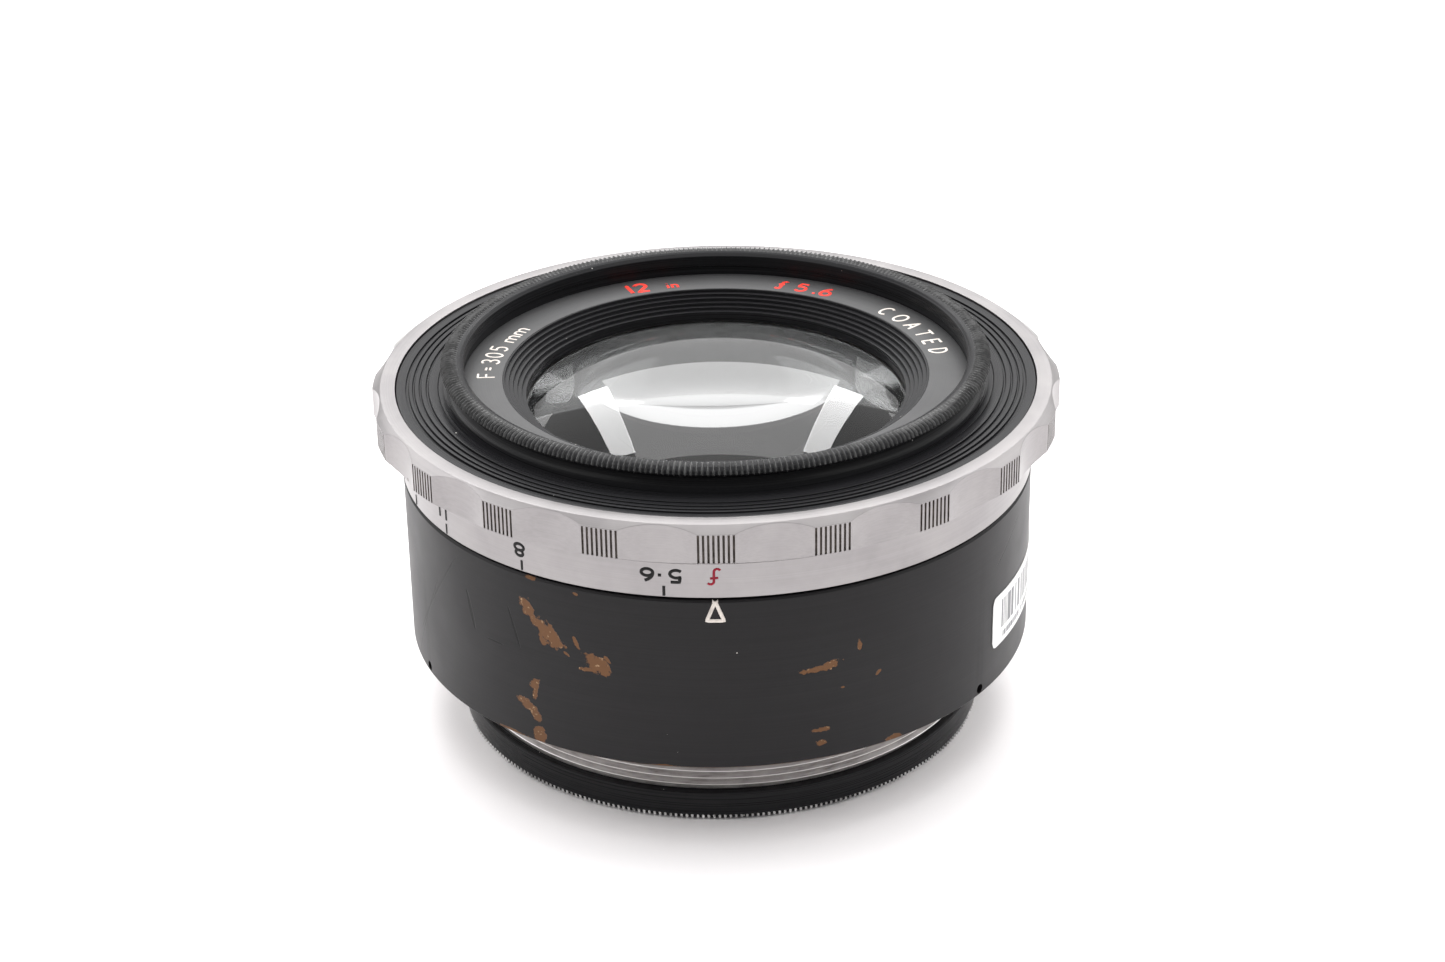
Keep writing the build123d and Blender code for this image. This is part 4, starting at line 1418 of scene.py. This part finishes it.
class LENS_OT_inner_pieces(PieceOperator):
    """Finishes the inner rings, screws and iris blades that keep their own shapes"""

    bl_idname = "lens.inner_pieces"
    bl_label = "Inner pieces"

    def make(self, sizes):
        blackened = inner_metal("blackened brass", (0.03, 0.028, 0.026), 0.6, 0.5)
        steel = inner_metal("blade steel", (0.035, 0.035, 0.037), 0.7, 0.42)
        screws = inner_metal("blued steel", (0.02, 0.02, 0.024), 0.8, 0.4)
        rings = ("iris_base_plate", "iris_retaining_ring", "front_spacer", "rear_retaining_ring",
                 "cam_ring")
        finishes = {"drive_screw": screws, "barrel_set_screws": screws}
        finishes.update(dict.fromkeys(rings, blackened))
        for node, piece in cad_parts.items():
            finish = steel if node.startswith("iris_blade") else finishes.get(node)
            if finish is None:
                continue
            piece.data.materials.clear()
            piece.data.materials.append(finish)


class LENS_OT_stage(bpy.types.Operator):
    """Lays the floor, hangs the softboxes and sets up the camera"""

    bl_idname = "lens.stage"
    bl_label = "Stage"
    bl_options = {"REGISTER", "UNDO"}

    def execute(self, context):
        settings = context.scene.lens_stage
        self.floor()
        self.world(context.scene)
        self.softboxes(settings)
        self.camera(context.scene, settings)
        context.scene.view_settings.view_transform = "Standard"
        return {"FINISHED"}

    def floor(self):
        half = 3000.0 * MM
        pale = (0.93, 0.915, 0.92)
        finish = Finish("pale floor", pale, 0.0, 0.7)
        finish.feed("Base Color", mix(noise(finish.tree, 30.0), pale, (0.945, 0.93, 0.935)))
        mesh = bpy.data.meshes.new("floor")
        corners = [(half * x, half * y, 0) for x, y in ((-1, -1), (1, -1), (1, 1), (-1, 1))]
        mesh.from_pydata(corners, [], [(0, 1, 2, 3)])
        mesh.materials.append(finish.material)
        floor = linked(bpy.data.objects.new("floor", mesh))
        floor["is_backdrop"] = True

    def world(self, scene):
        """A white studio, darker behind the camera and brighter overhead."""
        world = bpy.data.worlds.new("studio")
        world.use_nodes = True
        scene.world = world
        tree = world.node_tree
        sky = tree.nodes["Background"]
        direction = Value(tree, tree.nodes.new("ShaderNodeTexCoord").outputs["Generated"])
        _, y, z = parts_of(direction)
        level = mix(y.ramp(-0.9, 0.1), (0.3, 0.3, 0.3), (1.0, 0.995, 0.995))
        feed(tree, mix(z.ramp(0.75, 0.98), level, (2.3, 2.28, 2.28)), sky.inputs["Color"])
        sky.inputs["Strength"].default_value = 0.9

    def softboxes(self, settings):
        """Strips and boxes of light round the lens, each with the rays that see it."""
        everything = ("diffuse", "glossy", "transmission")
        aim = Vector((0, 0, 0.03))
        # Name, place, width and length, share of the power and the rays that see it
        places = (
            ("strip_left", (-0.85, 0.1, 0.7), (0.45, 2.4), 0.85, everything),
            ("strip_right", (0.85, 0.1, 0.7), (0.45, 2.4), 0.7, everything),
            ("softbox_top", (0.0, 0.35, 1.1), (1.0, 1.0), 1.7, ("diffuse",)),
            ("panel_rear", (0.0, 0.925, 0.934), (0.7, 0.92), 0.6, ("glossy",)),
            ("edge_left", (-0.395, 0.93, 0.93), (0.1, 0.72), 0.26, ("glossy",)),
            ("edge_right", (0.395, 0.93, 0.93), (0.1, 0.72), 0.26, ("glossy",)),
        )
        for name, spot, (width, height), strength, rays in places:
            lamp = bpy.data.lights.new(name, "AREA")
            lamp.shape = "RECTANGLE"
            lamp.size = width
            lamp.size_y = height
            lamp.energy = settings.key_power * strength
            holder = bpy.data.objects.new(name, lamp)
            # The edge strips lie in the rear panel's plane, so they face as it does
            across = spot[0] if abs(spot[0]) > 0.5 else 0.0
            back = (Vector((across, spot[1], spot[2])) - aim).normalized()
            along = (Vector((0, 1, 0)) - back * back.y).normalized()
            facing = Matrix((along.cross(back), along, back)).transposed().to_4x4()
            holder.matrix_world = Matrix.Translation(spot) @ facing
            for ray in everything:
                setattr(holder, "visible_" + ray, ray in rays)
            linked(holder)

    def camera(self, scene, settings):
        elevation = settings.elevation
        back = Vector((0, -cos(elevation), sin(elevation)))
        up = Vector((0, sin(elevation), cos(elevation)))
        right = Vector((1, 0, 0))
        aim = (-back + right * sin(settings.pan) + up * sin(settings.tilt)).normalized()
        level = aim.cross(Vector((0, 0, 1))).normalized()
        above = level.cross(aim)
        roll = settings.roll
        side = level * cos(roll) + above * sin(roll)
        over = above * cos(roll) - level * sin(roll)
        turn_matrix = Matrix.Rotation(settings.azimuth, 4, "Z")
        pose = Matrix((side, over, -aim)).transposed().to_4x4()
        pose.translation = back * settings.distance
        lens = bpy.data.cameras.new("camera")
        lens.lens = settings.focal_length
        lens.sensor_width = 36.0
        lens.clip_start = 0.01
        camera = linked(bpy.data.objects.new("camera", lens))
        camera.matrix_world = Matrix.Translation((0, 0, RING_TOP * MM)) @ turn_matrix @ pose
        scene.camera = camera


class LENS_PT_panel(bpy.types.Panel):
    """Lists the lens's settings and its makers"""

    bl_idname = "LENS_PT_panel"
    bl_label = "Barrel lens"
    bl_space_type = "VIEW_3D"
    bl_region_type = "UI"
    bl_category = "Lens"

    def draw(self, context):
        layout = self.layout
        scene = context.scene
        for settings in (scene.lens_sizes, scene.lens_colours, scene.lens_stage):
            box = layout.box()
            for key in settings.__annotations__:
                box.prop(settings, key)
        for maker in MAKERS:
            layout.operator(maker.bl_idname)


MAKERS = (
    LENS_OT_barrel, LENS_OT_aperture_ring, LENS_OT_front_flange, LENS_OT_front_cell,
    LENS_OT_front_rim, LENS_OT_name_ring, LENS_OT_stepped_ring, LENS_OT_glass, LENS_OT_rear,
    LENS_OT_label, LENS_OT_inner_pieces, LENS_OT_stage,
)
CLASSES = (LensSizes, LensColours, StageSettings, *MAKERS, LENS_PT_panel)


def register():
    for kind in CLASSES:
        bpy.utils.register_class(kind)
    bpy.types.Scene.lens_sizes = bpy.props.PointerProperty(type=LensSizes)
    bpy.types.Scene.lens_colours = bpy.props.PointerProperty(type=LensColours)
    bpy.types.Scene.lens_stage = bpy.props.PointerProperty(type=StageSettings)


def unregister():
    del bpy.types.Scene.lens_stage
    del bpy.types.Scene.lens_colours
    del bpy.types.Scene.lens_sizes
    for kind in reversed(CLASSES):
        bpy.utils.unregister_class(kind)


def main():
    register()
    bpy.ops.lens.stage()
    bpy.ops.lens.barrel()
    bpy.ops.lens.aperture_ring()
    bpy.ops.lens.front_flange()
    bpy.ops.lens.front_cell()
    bpy.ops.lens.front_rim()
    bpy.ops.lens.name_ring()
    bpy.ops.lens.stepped_ring()
    bpy.ops.lens.glass()
    bpy.ops.lens.rear()
    bpy.ops.lens.label()
    bpy.ops.lens.inner_pieces()
    boxes = {"cad": CAD_BOX, "visual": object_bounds()}
    plain = {name: [list(corner) for corner in box] for name, box in boxes.items()}


if __name__ == "__main__":
    main()
